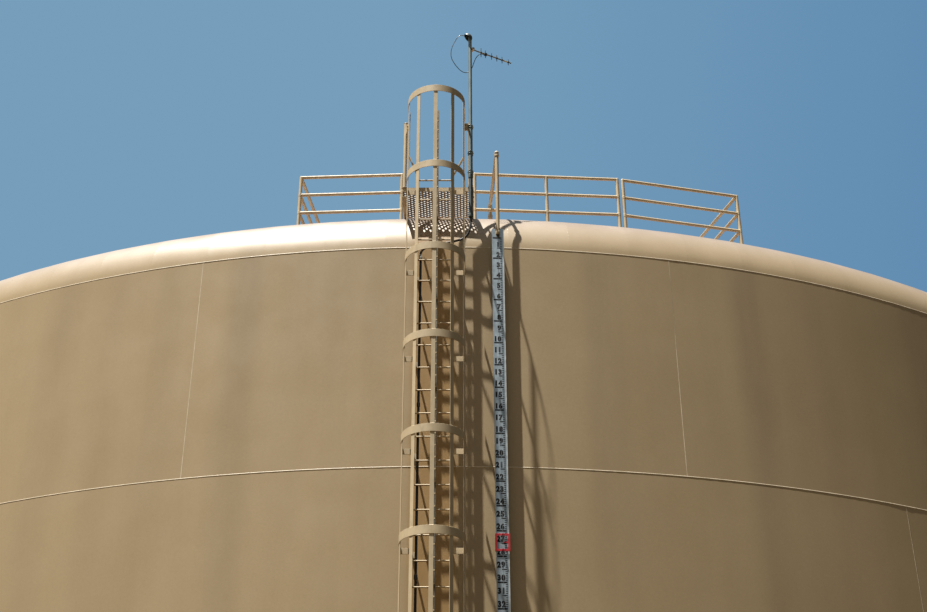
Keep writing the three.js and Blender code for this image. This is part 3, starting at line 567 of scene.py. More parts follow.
def toned(colour, *gains):
    """A colour with each of its parts scaled by one gain or by three, and held to 1."""
    gains = gains if len(gains) == 3 else gains * 3
    return tuple(min(1.0, part * gain) for part, gain in zip(colour, gains))


def coat(name, cloud, first, second, roughness, grain=None, metallic=0.0, specular=0.5):
    """Two tones in patches, under a fine uneven skin where there is one."""
    g = Graph(name)
    tone = g.mix(g.cloud(*cloud), first, second)
    skin = grain and g.grain(*grain)
    return g.finish(tone, roughness, skin, metallic=metallic, specular_ior_level=specular)


def tank_paint():
    """Tan paint with cloudy patches, fine runs and dark dirt runs; up-facing faces take a greyer tone that is
    partly dust and partly painted shade that tones down the sunlit top.
    """
    g = Graph("tank_paint")
    x, y, z = g.split(g.place)[:3]
    turn = g.math("ARCTAN2", x, g.times(y, -1.0))
    along = g.times(turn, SHELL_RADIUS)
    sheet = g.join(along, 0.0, z)
    colour = tuple(settings().paint)
    pale, dusky = toned(colour, 1.10), toned(colour, 0.84, 0.82, 0.80)
    tone = g.mix(g.cloud(0.55, 0.32, 0.68, 5, 0.6, sheet, 0.45), dusky, pale)
    tone = g.mix(0.62, tone, colour)
    tone = g.patches(tone, dusky, 0.16, 3.2, 0.40, 0.72, 6, 0.62, sheet, 0.035)
    tone = g.patches(tone, dusky, 0.10, 0.62, 0.45, 0.70, 3, 0.5, sheet, 0.02)
    waver = g.times(g.math("SUBTRACT", g.noise(0.5, 2, place=sheet), 0.5), 1.1)
    around = g.math("ADD", g.times(turn, 180 / pi), waver)

    def bands(rows, gain):
        total = 0.0
        for angle, half, strength in rows:
            away = g.math("ABSOLUTE", g.math("SUBTRACT", around, angle))
            total = g.math("ADD", g.spread(away, half * 2.2, half * 0.2, 0.0, strength * gain), total)
        return total

    patchy = g.cloud(2.4, 0.25, 0.62, 5, place=sheet, stretch=0.12, to=(0.35, 1.0))
    fade = g.spread(z, 5.0, SHELL_TOP + 0.05, 0.55, 1.0)
    tone = g.mix(g.times(bands(CLEAN_BANDS, 4), patchy), tone, pale)
    below_roof = g.spread(z, SHELL_TOP + 0.35, SHELL_TOP - 0.15)
    dirt = g.times(g.times(bands(DIRT_RUNS, settings().dirt), patchy), g.times(fade, below_roof))
    tone = g.mix(dirt, tone, (0.055, 0.045, 0.035))
    speck = g.cloud(38.0, 0.30, 0.72, 6, 0.7, to=(0.955, 1.03))
    tone = g.mix(1.0, tone, g.join(speck, speck, speck), "MULTIPLY")
    ragged = g.times(g.noise(6.0, 4, place=sheet, stretch=0.2), 0.12)
    behind = g.spread(g.math("ADD", g.math("ABSOLUTE", along), ragged), 0.40, 0.26)
    tone = g.mix(behind, tone, g.mix(1.0, tone, (0.90, 0.76, 0.54), "MULTIPLY"))
    # Greyer tone on up-facing faces: partly dust, partly painted shade that tones down the sunlit knuckle and
    # roof.
    dust = g.mix(g.cloud(2.2, 0.3, 0.7, 5), (0.215, 0.173, 0.148), (0.243, 0.200, 0.179))
    tone = g.mix(g.spread(g.facing(), 0.05, 0.85, 0.0, 1.0, False), tone, dust)
    tone = g.patches(tone, tuple(settings().rust), 0.10, 7.5, 0.71, 0.80, 3, place=sheet, stretch=0.25)
    rough = g.cloud(1.8, 0.3, 0.7, 5, place=sheet, to=(0.36, 0.47))
    dents = g.noise(1.6, 3, place=sheet, stretch=0.5)
    return g.finish(tone, rough, g.bump(dents, 0.16, 0.010, Normal=g.grain(210.0, 0.05, 0.0008, 3)))


def seam_paint():
    """Paler paint on the raised weld beads: a painted highlight, so the seams read as bright lines."""
    g = Graph("seam_paint")
    tone = g.mix(g.cloud(7.0, 0.35, 0.65, 5, 0.6), (0.52, 0.43, 0.30), (0.68, 0.58, 0.43))
    # Greyer tone on up-facing faces: partly dust, partly painted shade that tones down sunlit tops.
    tone = g.mix(g.spread(g.facing(), 0.3, 0.9), tone, (0.24, 0.20, 0.18))
    return g.finish(tone, 0.48, g.grain(190.0, 0.10, 0.0008, 3))


def trim_paint(name="ladder_paint", underside_rust_and_shade=0.42):
    """Tan paint on bars and pipes, with rust-brown undersides that are partly rust and partly painted warm
    shade, and grime in patches.
    """
    g = Graph(name)
    colour, rust = tuple(settings().trim), tuple(settings().rust)
    tone = g.mix(g.cloud(3.4, 0.35, 0.66, 6, 0.65), toned(colour, 0.90), toned(colour, 1.22))
    tone = g.mix(0.5, tone, colour)
    # Rust-brown on down-facing faces: partly rust, partly painted warm shade.
    under = g.times(g.spread(g.facing(), -0.15, -0.85), g.cloud(9.0, 0.38, 0.66, 5, 0.7))
    tone = g.mix(g.times(under, underside_rust_and_shade), tone, rust)
    tone = g.patches(tone, toned(rust, 0.6), 0.5, 55.0, 0.66, 0.74, 4, 0.7)
    tone = g.patches(tone, (0.10, 0.085, 0.065), 0.22, 16.0, 0.52, 0.75, 5, 0.6, stretch=0.25)
    return g.finish(tone, g.cloud(24.0, 0.3, 0.7, to=(0.42, 0.62)), g.grain(160.0, 0.18, 0.0012, 5, 0.65))


def zinc(name="galvanised_steel", painted_shade_tint=(1.0, 1.0, 1.0)):
    """Dull galvanised steel with spangle, dark runs and a few rust specks, multiplied by a tint; the climb
    rail's dark tint is painted shade.
    """
    g = Graph(name)
    cells = g.node("ShaderNodeTexVoronoi", {"Vector": g.place, "Scale": 62.0}, feature="F1").outputs["Color"]
    tone = g.mix(g.split(cells)[0], (0.29, 0.31, 0.31), (0.50, 0.53, 0.53))
    tone = g.patches(tone, (0.13, 0.135, 0.13), 0.55, 34.0, 0.46, 0.68, 5, 0.7, stretch=0.12)
    tone = g.patches(tone, (0.70, 0.71, 0.69), 0.6, 21.0, 0.52, 0.70, 6, 0.7)
    tone = g.patches(tone, tuple(settings().rust), 0.7, 48.0, 0.68, 0.76, 3)
    # A tint over the whole tone: on the climb rail it is painted shade.
    tone = g.mix(1.0, tone, painted_shade_tint, "MULTIPLY")
    rough = g.cloud(30.0, 0.3, 0.7, to=(0.38, 0.68))
    return g.finish(tone, rough, g.grain(90.0, 0.30, 0.0015, 5, 0.7), metallic=0.45)


def mast_metal():
    """Smooth bluish grey pipe, faintly mottled, with a few dark runs."""
    g = Graph("mast_pipe")
    tone = g.mix(g.cloud(6.0, 0.35, 0.65), (0.150, 0.205, 0.215), (0.215, 0.275, 0.280))
    runs = g.cloud(30.0, 0.50, 0.72, stretch=0.08)
    tone = g.mix(g.times(runs, 0.4), tone, (0.085, 0.105, 0.110))
    rough = g.spread(runs, 0.0, 1.0, 0.42, 0.60)
    return g.finish(tone, rough, g.grain(110.0, 0.12, 0.0008), metallic=0.15)


def board_metal():
    """Blue-grey aluminium sheet, brushed along its length and darker in weathered patches, with painted shade
    down its left side and a painted highlight along its right edge.
    """
    g = Graph("board_aluminium")
    brushed = g.noise(9.0, 4, place=g.scaled(g.place, (60.0, 60.0, 0.8)))
    tone = g.mix(g.spread(brushed, 0.35, 0.65), (0.46, 0.54, 0.60), (0.57, 0.65, 0.71))
    broad = g.scaled(g.place, (4.0, 4.0, 1.0))
    tone = g.patches(tone, (0.24, 0.29, 0.33), 0.30, 3.2, 0.42, 0.68, 5, 0.6, place=broad)
    tone = g.patches(tone, (0.66, 0.71, 0.74), 0.30, 26.0, 0.56, 0.70, 6, 0.7)
    x = g.split(g.place)[0]
    middle = (SHELL_RADIUS + BOARD_OUT) * sin(radians(GAUGE_ANGLE))
    # Painted shade: darker towards the board's left side.
    tone = g.mix(g.spread(x, middle - 0.030, middle - 0.076, 0.0, 0.35), tone, (0.26, 0.32, 0.37))
    # Painted highlight: a pale strip along the board's right edge.
    tone = g.mix(g.spread(x, middle + 0.062, middle + 0.068), tone, (0.86, 0.88, 0.88))
    rough = g.cloud(18.0, 0.3, 0.7, to=(0.30, 0.42))
    return g.finish(tone, rough, g.bump(brushed, 0.10, 0.0005), metallic=0.70)


def weathered_black(name="black_plastic", dusty=0.55):
    """Black plastic and rubber, dusty on top and chalky in patches."""
    g = Graph(name)
    dust = g.times(g.spread(g.facing(), 0.2, 1.0), g.cloud(24.0, 0.35, 0.65, 5))
    tone = g.mix(g.times(dust, dusty), (0.010, 0.011, 0.012), (0.20, 0.18, 0.15))
    tone = g.patches(tone, (0.060, 0.066, 0.072), dusty * 0.6, 30.0, 0.50, 0.72, 5, 0.65, stretch=0.2)
    return g.finish(tone, g.cloud(36.0, 0.3, 0.7, to=(0.34, 0.58)), g.grain(150.0, 0.15, 0.0008))


def red_enamel():
    """Red enamel, sun-faded in patches and chipped at a few spots."""
    g = Graph("target_red")
    colour = tuple(settings().target_red)
    tone = g.mix(g.cloud(18.0, 0.4, 0.7, 5), colour, toned(colour, 1.25, 2.4, 2.0))
    tone = g.mix(g.cloud(90.0, 0.70, 0.74, 3), tone, (0.11, 0.07, 0.05))
    return g.finish(tone, 0.40, g.grain(140.0, 0.12, 0.0006))


# Each finish's maker, its slot, and what the maker is told
FINISHES = {
    "paint": (tank_paint, "tank_paint"),
    # The weld beads' paler paint is a painted highlight.
    "seams": (seam_paint, "tank_paint"),
    "trim": (trim_paint, "ladder_paint"),
    # Rungs: stronger rust-brown undersides, partly rust and partly painted warm shade.
    "rungs": (trim_paint, "ladder_paint", "rung_paint", 0.95),
    "zinc": (zinc, "galvanised_steel"),
    # The climb rail's zinc, darkened and warmed: painted shade on its side face.
    "dark_zinc": (zinc, "galvanised_steel", "climb_rail_zinc", (0.46, 0.39, 0.30)),
    "mast": (mast_metal, "galvanised_steel"),
    # Dark olive-tan tube, weathered
    "boom": (coat, "galvanised_steel", "boom_finish", (40.0, 0.40, 0.66, 5, 0.7),
             (0.225, 0.195, 0.125), (0.145, 0.130, 0.095), 0.45, (120.0, 0.15, 0.0008), 0.5),
    # Faded yellow tape
    "band": (coat, "galvanised_steel", "boom_band", (80.0, 0.45, 0.70),
             (0.60, 0.44, 0.06), (0.32, 0.25, 0.10), 0.5),
    # Dark teal-grey casting, a little chalky
    "hood": (coat, "black_plastic", "hood_metal", (28.0, 0.45, 0.72, 5, 0.65),
             (0.050, 0.075, 0.080), (0.115, 0.145, 0.150), 0.45, (130.0, 0.2, 0.0008)),
    "black": (weathered_black, "black_plastic"),
    "cord": (weathered_black, "black_plastic", "cord_black", 0.12),
    "board": (board_metal, "board_aluminium"),
    # Black gauge paint, a little chalked; it also stands as painted shade in the mouths of the weatherhead
    # and the guide pipe
    "marks": (coat, "board_aluminium", "gauge_black", (70.0, 0.45, 0.75, 5, 0.7),
              (0.004, 0.004, 0.005), (0.016, 0.017, 0.019), 0.8, None, 0.0, 0.2),
    # Bright stranded wire, dulled along its length in places
    "wire": (coat, "wire_steel", "wire_steel", (40.0, 0.4, 0.7, 4, 0.55, None, 0.1),
             (0.55, 0.57, 0.58), (0.30, 0.29, 0.27), 0.38, None, 0.8),
    "red": (red_enamel, "target_red"),
}
made_finishes = {}


def finish_of(name):
    if name not in made_finishes:
        maker, _, *told = FINISHES[name]
        made_finishes[name] = maker(*told)
    return made_finishes[name]


class TANK_OT_camera(bpy.types.Operator):
    """Places the camera where the photograph was taken from"""

    bl_idname = "tank.camera"
    bl_label = "Camera"

    def execute(self, context):
        lens = bpy.data.cameras.new("view")
        lens.sensor_width = 36.0
        lens.lens = CAMERA_LENS
        lens.clip_end = 500.0
        camera = bpy.data.objects.new("view", lens)
        context.scene.collection.objects.link(camera)
        turn = Matrix.Translation(CAMERA_PLACE)
        for angle, axis in ((CAMERA_HEADING, "Z"), (CAMERA_PITCH, "X"), (CAMERA_ROLL, "Z")):
            turn = turn @ Matrix.Rotation(radians(angle), 4, axis)
        camera.matrix_world = turn
        context.scene.camera = camera
        return {"FINISHED"}


def cord_curve(name, route, diameter):
    """A round cord through the points of its route."""
    curve = bpy.data.curves.new(name, "CURVE")
    curve.dimensions = "3D"
    curve.bevel_depth = diameter / 2
    curve.bevel_resolution = 4
    curve.resolution_u = 8
    curve.use_fill_caps = True
    spline = curve.splines.new("BEZIER")
    spline.bezier_points.add(len(route) - 1)
    for knot, place in zip(spline.bezier_points, route):
        knot.co = place
        knot.handle_left_type = knot.handle_right_type = "AUTO"
    curve.materials.append(finish_of("cord"))
    made = bpy.data.objects.new(name, curve)
    bpy.context.scene.collection.objects.link(made)
    return made


def route_length(made):
    """Length of a curve object's centreline."""
    length = 0.0
    knots = made.data.splines[0].bezier_points
    for a, b in zip(knots, knots[1:]):
        points = interpolate_bezier(a.co, a.handle_right, b.handle_left, b.co, 12)
        length += sum((q - p).length for p, q in zip(points, points[1:]))
    return length


class TANK_OT_cords(bpy.types.Operator):
    """Lays the flexible conduit and the aerial's cable along their routes"""

    bl_idname = "tank.cords"
    bl_label = "Conduit and cable"

    def execute(self, context):
        x, y = MAST_X, -MAST_OUT
        flex = (
            (x, y, MAST_FOOT - GAP), (x, y, MAST_FOOT - 0.045), (0.458, -0.180, 11.195),
            (0.441, -0.178, 11.115), (0.408, -0.172, 11.051), (0.352, -0.162, 11.006),
            (0.275, -0.151, 10.983), (0.180, -0.149, 10.961), (0.086, -0.151, 10.938),
            (0.007, -0.154, 10.916), (-0.045, -0.158, 10.899), (-0.092, -0.162, 10.881),
            (-0.130, -0.167, 10.858), (-0.155, -0.171, 10.832), (-0.170, -0.174, 10.804),
            (RISER_X, -RISER_OUT, RISER_TOP + 0.015), (RISER_X, -RISER_OUT, RISER_TOP + GAP),
        )
        coax = (
            (0.385, -0.180, 14.338), (0.367, -0.180, 14.347), (0.345, -0.180, 14.351),
            (0.319, -0.180, 14.342), (0.287, -0.180, 14.310), (0.249, -0.180, 14.231),
            (0.215, -0.180, 14.144), (0.199, -0.180, 14.048), (0.207, -0.180, 13.948),
            (0.241, -0.180, 13.862), (0.289, -0.176, 13.785), (0.340, -0.168, 13.730),
            (0.395, -0.157, 13.709), (0.448, -0.147, 13.735), (0.485, -0.139, 13.799),
            (0.511, -0.130, 13.887), (0.535, -0.125, 13.968), (0.570, -0.118, 14.036),
            (0.611, -0.109, 14.071), (0.660, -0.087, 14.085),
        )
        for name, route, diameter, node in (
            ("flexible_conduit_run", flex, FLEX_DIAMETER, "flexible_conduit"),
            ("coax_cable", coax, COAX_DIAMETER, "coax_loop"),
        ):
            points = [wall() @ Vector(place) for place in route]
            made = cord_curve(name, points, diameter)
            context.view_layer.update()
            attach(made, "tank")
            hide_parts(node)
            route_length(made)
        return {"FINISHED"}


def course_rows():
    """Each course's number, plate thickness, foot, top and the angles of its upright seams."""
    for course, thickness, first in zip(COURSES, COURSE_THICKNESSES, FIRST_SEAMS):
        low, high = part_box(f"shell_course_{course}_front")
        yield course, thickness, low.z, high.z, [first + i * PLATE_TURN for i in range(SHELL_PLATES)]


def plate_radius(angle, height, foot, top, seams):
    """Radius of a plate that wanders in and out, most near its upright ends, least at foot and top."""
    wave = sin(radians(angle * 7.3) + height * 0.9) * 0.35
    wave += sin(radians(angle * 17.0) - height * 1.7 + 1.3) * 0.25
    nearest = min(abs((angle - seam + 180) % 360 - 180) for seam in seams)
    peak = exp(-((nearest / 0.9) ** 2)) * 0.8
    edge = min(height - foot, top - height) / (top - foot) * 4
    return SHELL_RADIUS + settings().ripple * (wave - peak) * min(1.0, 0.15 + edge)


class TANK_OT_shell(bpy.types.Operator):
    """Rolls the shell's courses as curved plates"""

    bl_idname = "tank.shell"
    bl_label = "Shell plates"
    columns: bpy.props.IntProperty(name="Columns", description="Steps round each plate", default=34)
    rows: bpy.props.IntProperty(name="Rows", description="Steps up each plate", default=10)

    def execute(self, context):
        for course, thickness, foot, top, seams in course_rows():
            heights = [foot + (top - foot) * i / self.rows for i in range(self.rows + 1)]
            shape = Shape()
            for seam in seams:
                rings = []
                for i in range(self.columns + 1):
                    angle = seam + 0.001 + (PLATE_TURN - 0.002) * i / self.columns
                    outer = [(plate_radius(angle, z, foot, top, seams), z) for z in heights]
                    inner = [(radius - thickness, z) for radius, z in reversed(outer)]
                    rings.append(ring_at(angle, outer + inner))
                shape.loft(rings)
            piece(f"shell_plates_{course}", shape, "paint", [f"shell_course_{course}_{arc}" for arc in ARCS])
        dress("bottom_plate", "paint")
        return {"FINISHED"}


class TANK_OT_roof(bpy.types.Operator):
    """Presses the petals of the rounded roof edge and lays the roof sheets"""

    bl_idname = "tank.roof"
    bl_label = "Roof edge and roof"
    rise_steps: bpy.props.IntProperty(name="Rise steps", description="Steps up each petal", default=20)
    petal_steps: bpy.props.IntProperty(name="Petal steps", description="Steps across a petal", default=4)
    flatness: bpy.props.FloatProperty(name="Flatness", description="How flat a petal is across", default=0.55)

    def execute(self, context):
        half = radians(PETAL_TURN / 2)
        steps = self.rise_steps
        petals = Shape()
        for i in range(PETALS):
            middle = PETAL_START + PETAL_TURN * (i + 0.5)
            rings = []
            for j in range(self.petal_steps + 1):
                off = (2 * j / self.petal_steps - 1) * half * 0.9995
                flat = (cos(half) / cos(off) - 1) * self.flatness
                outer, inner = [], []
                for k in range(steps + 1):
                    scale = 1 + flat * min(1.0, k / 3) * min(1.0, (steps - k) / 2)
                    for side, proud in ((outer, 0.0), (inner, -KNUCKLE_THICKNESS)):
                        radius, z = knuckle_point(KNUCKLE_END * k / steps, proud)
                        side.append((radius * scale, z))
                rings.append(ring_at(middle + degrees(off), outer + inner[::-1]))
            petals.loft(rings)
        piece("roof_petals", petals, "paint", [f"roof_knuckle_{arc}" for arc in ARCS], crease=40)

        cone = Shape()
        outer = [(r, roof_height(r)) for r in (CONE_RADIUS - 0.007, 11.2, 9.0, 6.8, 4.6, 2.4, 0.35)]
        inner = [(r, z - ROOF_THICKNESS) for r, z in reversed(outer)]
        cone.loft([ring_at(360 * i / 216, outer + inner) for i in range(216)], closed=True)
        cap = ((0, 0.36), (0.006, 0.36), (0.028, 0.01))
        cone.turned((0, 0, roof_height(0.36) - 0.002), UP, cap, 48)
        piece("roof_sheets", cone, "paint", ["roof_cone"])
        return {"FINISHED"}


def round_bead(shape, radius, height, steps, width, proud, normal=None):
    """A weld bead right round the tank."""
    angles = [360 * i / steps for i in range(steps + 1)]
    normals = [normal or on_tank(angle, 1, 0) for angle in angles]
    shape.bead([on_tank(angle, radius, height) for angle in angles], normals, width, proud)


class TANK_OT_seams(bpy.types.Operator):
    """Runs the weld beads round the courses, up the plate ends and over the roof"""

    bl_idname = "tank.seams"
    bl_label = "Weld seams"

    def execute(self, context):
        width, proud = settings().bead_width, settings().bead_height
        rounds, uprights, roof = Shape(), Shape(), Shape()
        for _, _, foot, top, seams in course_rows():
            round_bead(rounds, SHELL_RADIUS, top, 540, width, proud)
            heights = [foot + (top - foot) * i / 10 for i in range(11)]
            for seam in seams:
                path = [on_tank(seam, plate_radius(seam, z, foot, top, seams), z) for z in heights]
                uprights.bead(path, [on_tank(seam, 1, 0)] * 11, width * 0.6, proud * 0.45)
        piece("round_seams", rounds, "seams", crease=60)
        piece("upright_seams", uprights, "seams", crease=60)

        rises = [KNUCKLE_END * (0.004 + 0.992 * i / 18) for i in range(19)]
        for i in range(PETALS):
            angle = PETAL_START + PETAL_TURN * i
            path, normals = [], []
            for rise in rises:
                radius, z = knuckle_point(rise)
                path.append(on_tank(angle, radius - 0.001, z))
                normals.append(on_tank(angle, cos(rise), sin(rise)).normalized())
            roof.bead(path, normals, width * 0.5, proud * 0.4)
        up = Vector(UP)
        round_bead(roof, CONE_RADIUS - 0.004, roof_height(CONE_RADIUS), 432, width, proud * 0.7, up)
        outer, inner = ROOF_RINGS
        for radius in ROOF_RINGS:
            round_bead(roof, radius, roof_height(radius), 432, width * 0.7, proud * 0.5, up)
        for i in range(RADIAL_SEAMS):
            for start, end in ((CONE_RADIUS - 0.01, outer + 0.01), (outer - 0.01, inner + 0.01))[:1 + i % 2]:
                angle = PETAL_START + 360 / RADIAL_SEAMS * (i + (0 if start > outer else 0.5))
                path = [on_tank(angle, r, roof_height(r)) for r in (start, (start + end) / 2, end)]
                roof.bead(path, [up] * 3, width * 0.6, proud * 0.5)
        piece("roof_seams", roof, "paint", crease=60)
        return {"FINISHED"}


def make_vent():
    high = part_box("roof_vent")[1]
    neck, hood, base = 0.305, high.x, high.z - 0.18
    foot = roof_height(neck) - 0.002
    vent = Shape()
    vent.disc((0, 0, foot), UP, neck + 0.06, 0.012, 48)
    vent.disc((0, 0, foot), UP, neck, base - foot + 0.02, 48)
    bell = ((0, hood - 0.004), (0, hood), (0.055, hood), (0.075, hood * 0.94), (0.13, hood * 0.7),
            (0.19, hood * 0.36), (0.225, hood * 0.1))
    vent.turned((0, 0, base - 0.06), UP, bell, 48)
    for i in range(12):
        vent.bolt(on_tank(30 * i, neck + 0.04, foot + 0.012), UP)
    piece("vent_detail", vent, "paint", ["roof_vent"])


def make_hatch():
    half = 0.381
    hatch = Shape(wall(HATCH_ANGLE, 0.0, HATCH_IN))
    reach = half + 0.025
    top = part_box("roof_hatch_lid")[1].z
    curb = (roof_height(SHELL_RADIUS - HATCH_IN) - 0.026, top - 0.02)
    skirt = (top - 0.06, top - 0.015)
    hatch.box((-reach, reach), (-reach, reach), (top - 0.016, top), 0.004)
    for side in (-1, 1):
        hatch.box((side * half, side * (half - 0.01)), (-half, half), curb, 0.002)
        hatch.box((0.011 - half, half - 0.011), (side * half, side * (half - 0.01)), curb, 0.002)
        hatch.box((side * reach, side * (reach - 0.008)), (-reach, reach), skirt, 0.002)
        hatch.box((-reach, reach), (side * reach, side * (reach - 0.008)), skirt, 0.002)
        x, y, z = side * 0.25, reach + 0.004, top - 0.020
        hatch.box((x - 0.04, x + 0.04), (y - 0.007, y), (top - 0.075, top - 0.010), 0.002)
        hatch.rod((x - 0.05, y, z), (x + 0.05, y, z), 0.009, 10)
    piece("hatch_detail", hatch, "trim", ["roof_hatch_curb", "roof_hatch_lid"])


def make_manway():
    bore, flange, face = 0.305, 0.416, -0.230
    manway = Shape(wall(MANWAY_ANGLE, z=MANWAY_HEIGHT))
    manway.disc((0, 0, 0), OUT, bore + 0.013, 0.228, 48)
    manway.disc((0, 0.004, 0), OUT, flange + 0.09, 0.020, 48)
    manway.disc((0, face + 0.019, 0), OUT, flange, 0.0185, 48)
    cover = ((0, flange), (0.017, flange), (0.019, flange - 0.002))
    manway.turned((0, face - GAP, 0), OUT, cover, 48)
    for i in range(28):
        turn = 2 * pi * (i + 0.5) / 28
        x, z = (flange - 0.035) * cos(turn), (flange - 0.035) * sin(turn)
        manway.bolt((x, face - 0.019, z), OUT, 0.015, 0.013)
        manway.bolt((x, face + 0.019, z), (0, 1, 0), 0.015, 0.013)
    handle = ((-0.11, 0.018), (-0.11, 0.055), (0.11, 0.055), (0.11, 0.018))
    manway.tube([(x, face - out, 0.05) for x, out in handle], 0.008, 8)
    piece("manway_detail", manway, "paint", ["manway_neck", "manway_cover"])


class TANK_OT_roof_fittings(bpy.types.Operator):
    """Makes the roof vent, the roof hatch and the shell manway"""

    bl_idname = "tank.roof_fittings"
    bl_label = "Vent, hatch and manway"

    def execute(self, context):
        for make in (make_vent, make_hatch, make_manway):
            make()
        return {"FINISHED"}


def make_ladder():
    ladder = Shape(wall())
    low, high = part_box("ladder")
    near, far = -RUNG_OUT + RAIL_WIDTH / 2, -RUNG_OUT - RAIL_WIDTH / 2
    arm = CAGE_RADIUS - FLAT - GAP
    for side in (-1, 1):
        outside, inside = side * RAIL_HALF, side * (RAIL_HALF - RAIL_THICKNESS)
        ladder.box((outside, inside), (far, near), (low.z, high.z), 0.0015)
        for top in HOOP_TOPS[1:]:
            foot = top - HOOP_DEPTH - LUG_DROP
            lug = (outside - side * 0.001, CAGE_SHIFT + side * arm)
            ladder.box(lug, (-RUNG_OUT - 0.005, -RUNG_OUT + 0.005), (foot, foot + BRACKET_HEIGHT), 0.001)
            y = -RUNG_OUT - 0.006
            for z in (foot + 0.002, foot + BRACKET_HEIGHT - 0.002):
                ladder.rod((outside, y, z), (outside + side * 0.012, y, z), 0.004, 6)
        for i in range(BRACKET_COUNT):
            foot = SECOND_HOOP - (i + 1) * HOOP_PITCH - HOOP_DEPTH
            span = (foot, foot + BRACKET_HEIGHT)
            ladder.box((outside, inside), (near - 0.001, -0.0005), span, 0.001)
            ladder.box((outside, inside - side * BRACKET_PAD), (-RAIL_THICKNESS, -0.0005), span, 0.001)
    for i in range(RUNG_COUNT):
        z = TOP_RUNG - i * RUNG_PITCH
        ladder.slot = 1
        ladder.rod((0.004 - RAIL_HALF, -RUNG_OUT, z), (RAIL_HALF - 0.004, -RUNG_OUT, z), 0.010)
        ladder.slot = 0
        for side in (-1, 1):
            end = (side * (RAIL_HALF - RAIL_THICKNESS), -RUNG_OUT, z)
            ladder.turned(end, (-side, 0, 0), ((0, 0.0145), (0.006, 0.0105)), 12)
    piece("ladder_steel", ladder, "trim rungs", ["ladder"])


def make_climb_rail(notch_pitch):
    low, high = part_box("climb_rail")
    rail = Shape(wall(0, (low.x + high.x) / 2))
    near = -RUNG_OUT - 0.009
    front, half = near - (high.y - low.y), (high.x - low.x) / 2
    span = (low.z, high.z)
    rail.box((-half, half), (near - 0.003, near), span, 0.0008)
    for side in (-1, 1):
        rail.box((side * half, side * (half - 0.003)), (front, near - 0.002), span, 0.0008)
        rail.box((side * half, side * 0.010), (front, front + 0.003), span, 0.0008)
    rail.slot = 1
    for i in range(int((high.z - low.z) / notch_pitch)):
        z = low.z + 0.08 + i * notch_pitch
        rail.box((-0.020, 0.020), (front - 0.0015, near - 0.0025), (z - 0.009, z + 0.009), 0.001)
    piece("climb_rail_notched", rail, "dark_zinc trim", ["climb_rail"])


class TANK_OT_ladder(bpy.types.Operator):
    """Welds the ladder with its rungs, wall brackets and notched climb rail"""

    bl_idname = "tank.ladder"
    bl_label = "Ladder"
    notch_pitch: bpy.props.FloatProperty(
        name="Notch pitch", description="Distance between the climb rail's notches", unit="LENGTH",
        default=0.1524)

    def execute(self, context):
        make_ladder()
        dress("rail_extension_left", "trim")
        dress("rail_extension_right", "trim")
        make_climb_rail(self.notch_pitch)
        return {"FINISHED"}


def cage_place(angle, radius):
    turn = radians(angle)
    return Vector((CAGE_SHIFT + radius * sin(turn), -CAGE_OUT - radius * cos(turn)))


class TANK_OT_cage(bpy.types.Operator):
    """Rolls the cage hoops and welds the upright bars inside them"""

    bl_idname = "tank.cage"
    bl_label = "Cage"

    def execute(self, context):
        middle, inner = CAGE_RADIUS - FLAT / 2, CAGE_RADIUS - FLAT * 1.5
        left, right = (Vector((CAGE_SHIFT + side * middle, -HOOP_END_OUT)) for side in (-1, 1))
        hoop = [left, *(cage_place(-90 + 180 * i / 40, middle) for i in range(41)), right]
        places = [(angle, cage_place(angle, inner)) for angle in BAR_ANGLES]
        places += [(side * 90, Vector((CAGE_SHIFT + side * inner, -ARM_BAR_OUT))) for side in (-1, 1)]
        weld = BAR_WIDTH / 2 - 0.002
        for name, first, end in (("top", 0, 3), ("middle", 3, 6), ("lower", 6, len(HOOP_TOPS))):
            tops = HOOP_TOPS[first:end]
            foot = HOOP_TOPS[end] + GAP if end < len(HOOP_TOPS) else CAGE_MOUTH - HOOP_DEPTH
            cage = Shape(wall())
            for top in tops:
                cage.strip(hoop, FLAT, top - HOOP_DEPTH, top)
            for angle, centre in places:
                cage.matrix = wall() @ plan_frame(centre, angle)
                cage.box((-BAR_WIDTH / 2, BAR_WIDTH / 2), (-FLAT / 2, FLAT / 2), (foot, tops[0]), 0.0012)
                for top in tops:
                    for z in (top, top - HOOP_DEPTH):
                        cage.rod((-weld, -0.002, z), (weld, -0.002, z), 0.0042, 6, 0.0015)
            piece(f"cage_{name}_steel", cage, "trim", [f"cage_{name}"])
        return {"FINISHED"}


def circle(sides, radius=1.0, x=0.0, y=0.0):
    turns = [2 * pi * i / sides for i in range(sides)]
    return [(x + radius * cos(turn), y + radius * sin(turn)) for turn in turns]


def punched_plate(x0, x1, y0, y1, thickness, pitch, size, margin):
    """A flat plate with staggered round holes: points and faces centred on z 0, and the holes' places."""
    column = pitch * cos(radians(30))
    columns = int((x1 - x0 - 2 * margin) / column)
    rows = int((y1 - y0 - 2 * margin) / pitch)
    holes = []
    for i in range(columns + 1):
        shift = (pitch / 2 if i % 2 else 0.0) - pitch / 4
        x = (x0 + x1) / 2 + (i - columns / 2) * column
        for j in range(rows + 1):
            y = (y0 + y1) / 2 + (j - rows / 2) * pitch + shift
            if y0 + margin <= y <= y1 - margin:
                holes.append((x, y))
    curve = bpy.data.curves.new("punching", "CURVE")
    curve.dimensions = "2D"
    curve.fill_mode = "BOTH"
    curve.extrude = thickness / 2
    plate = ((x0, y0), (x1, y0), (x1, y1), (x0, y1))
    for outline in (plate, *(circle(16, size / 2, *hole) for hole in holes)):
        ring = curve.splines.new("POLY")
        ring.points.add(len(outline) - 1)
        for knot, place in zip(ring.points, outline):
            knot.co = (*place, 0, 1)
        ring.use_cyclic_u = True
    return *mesh_of(curve, 1e-6), holes


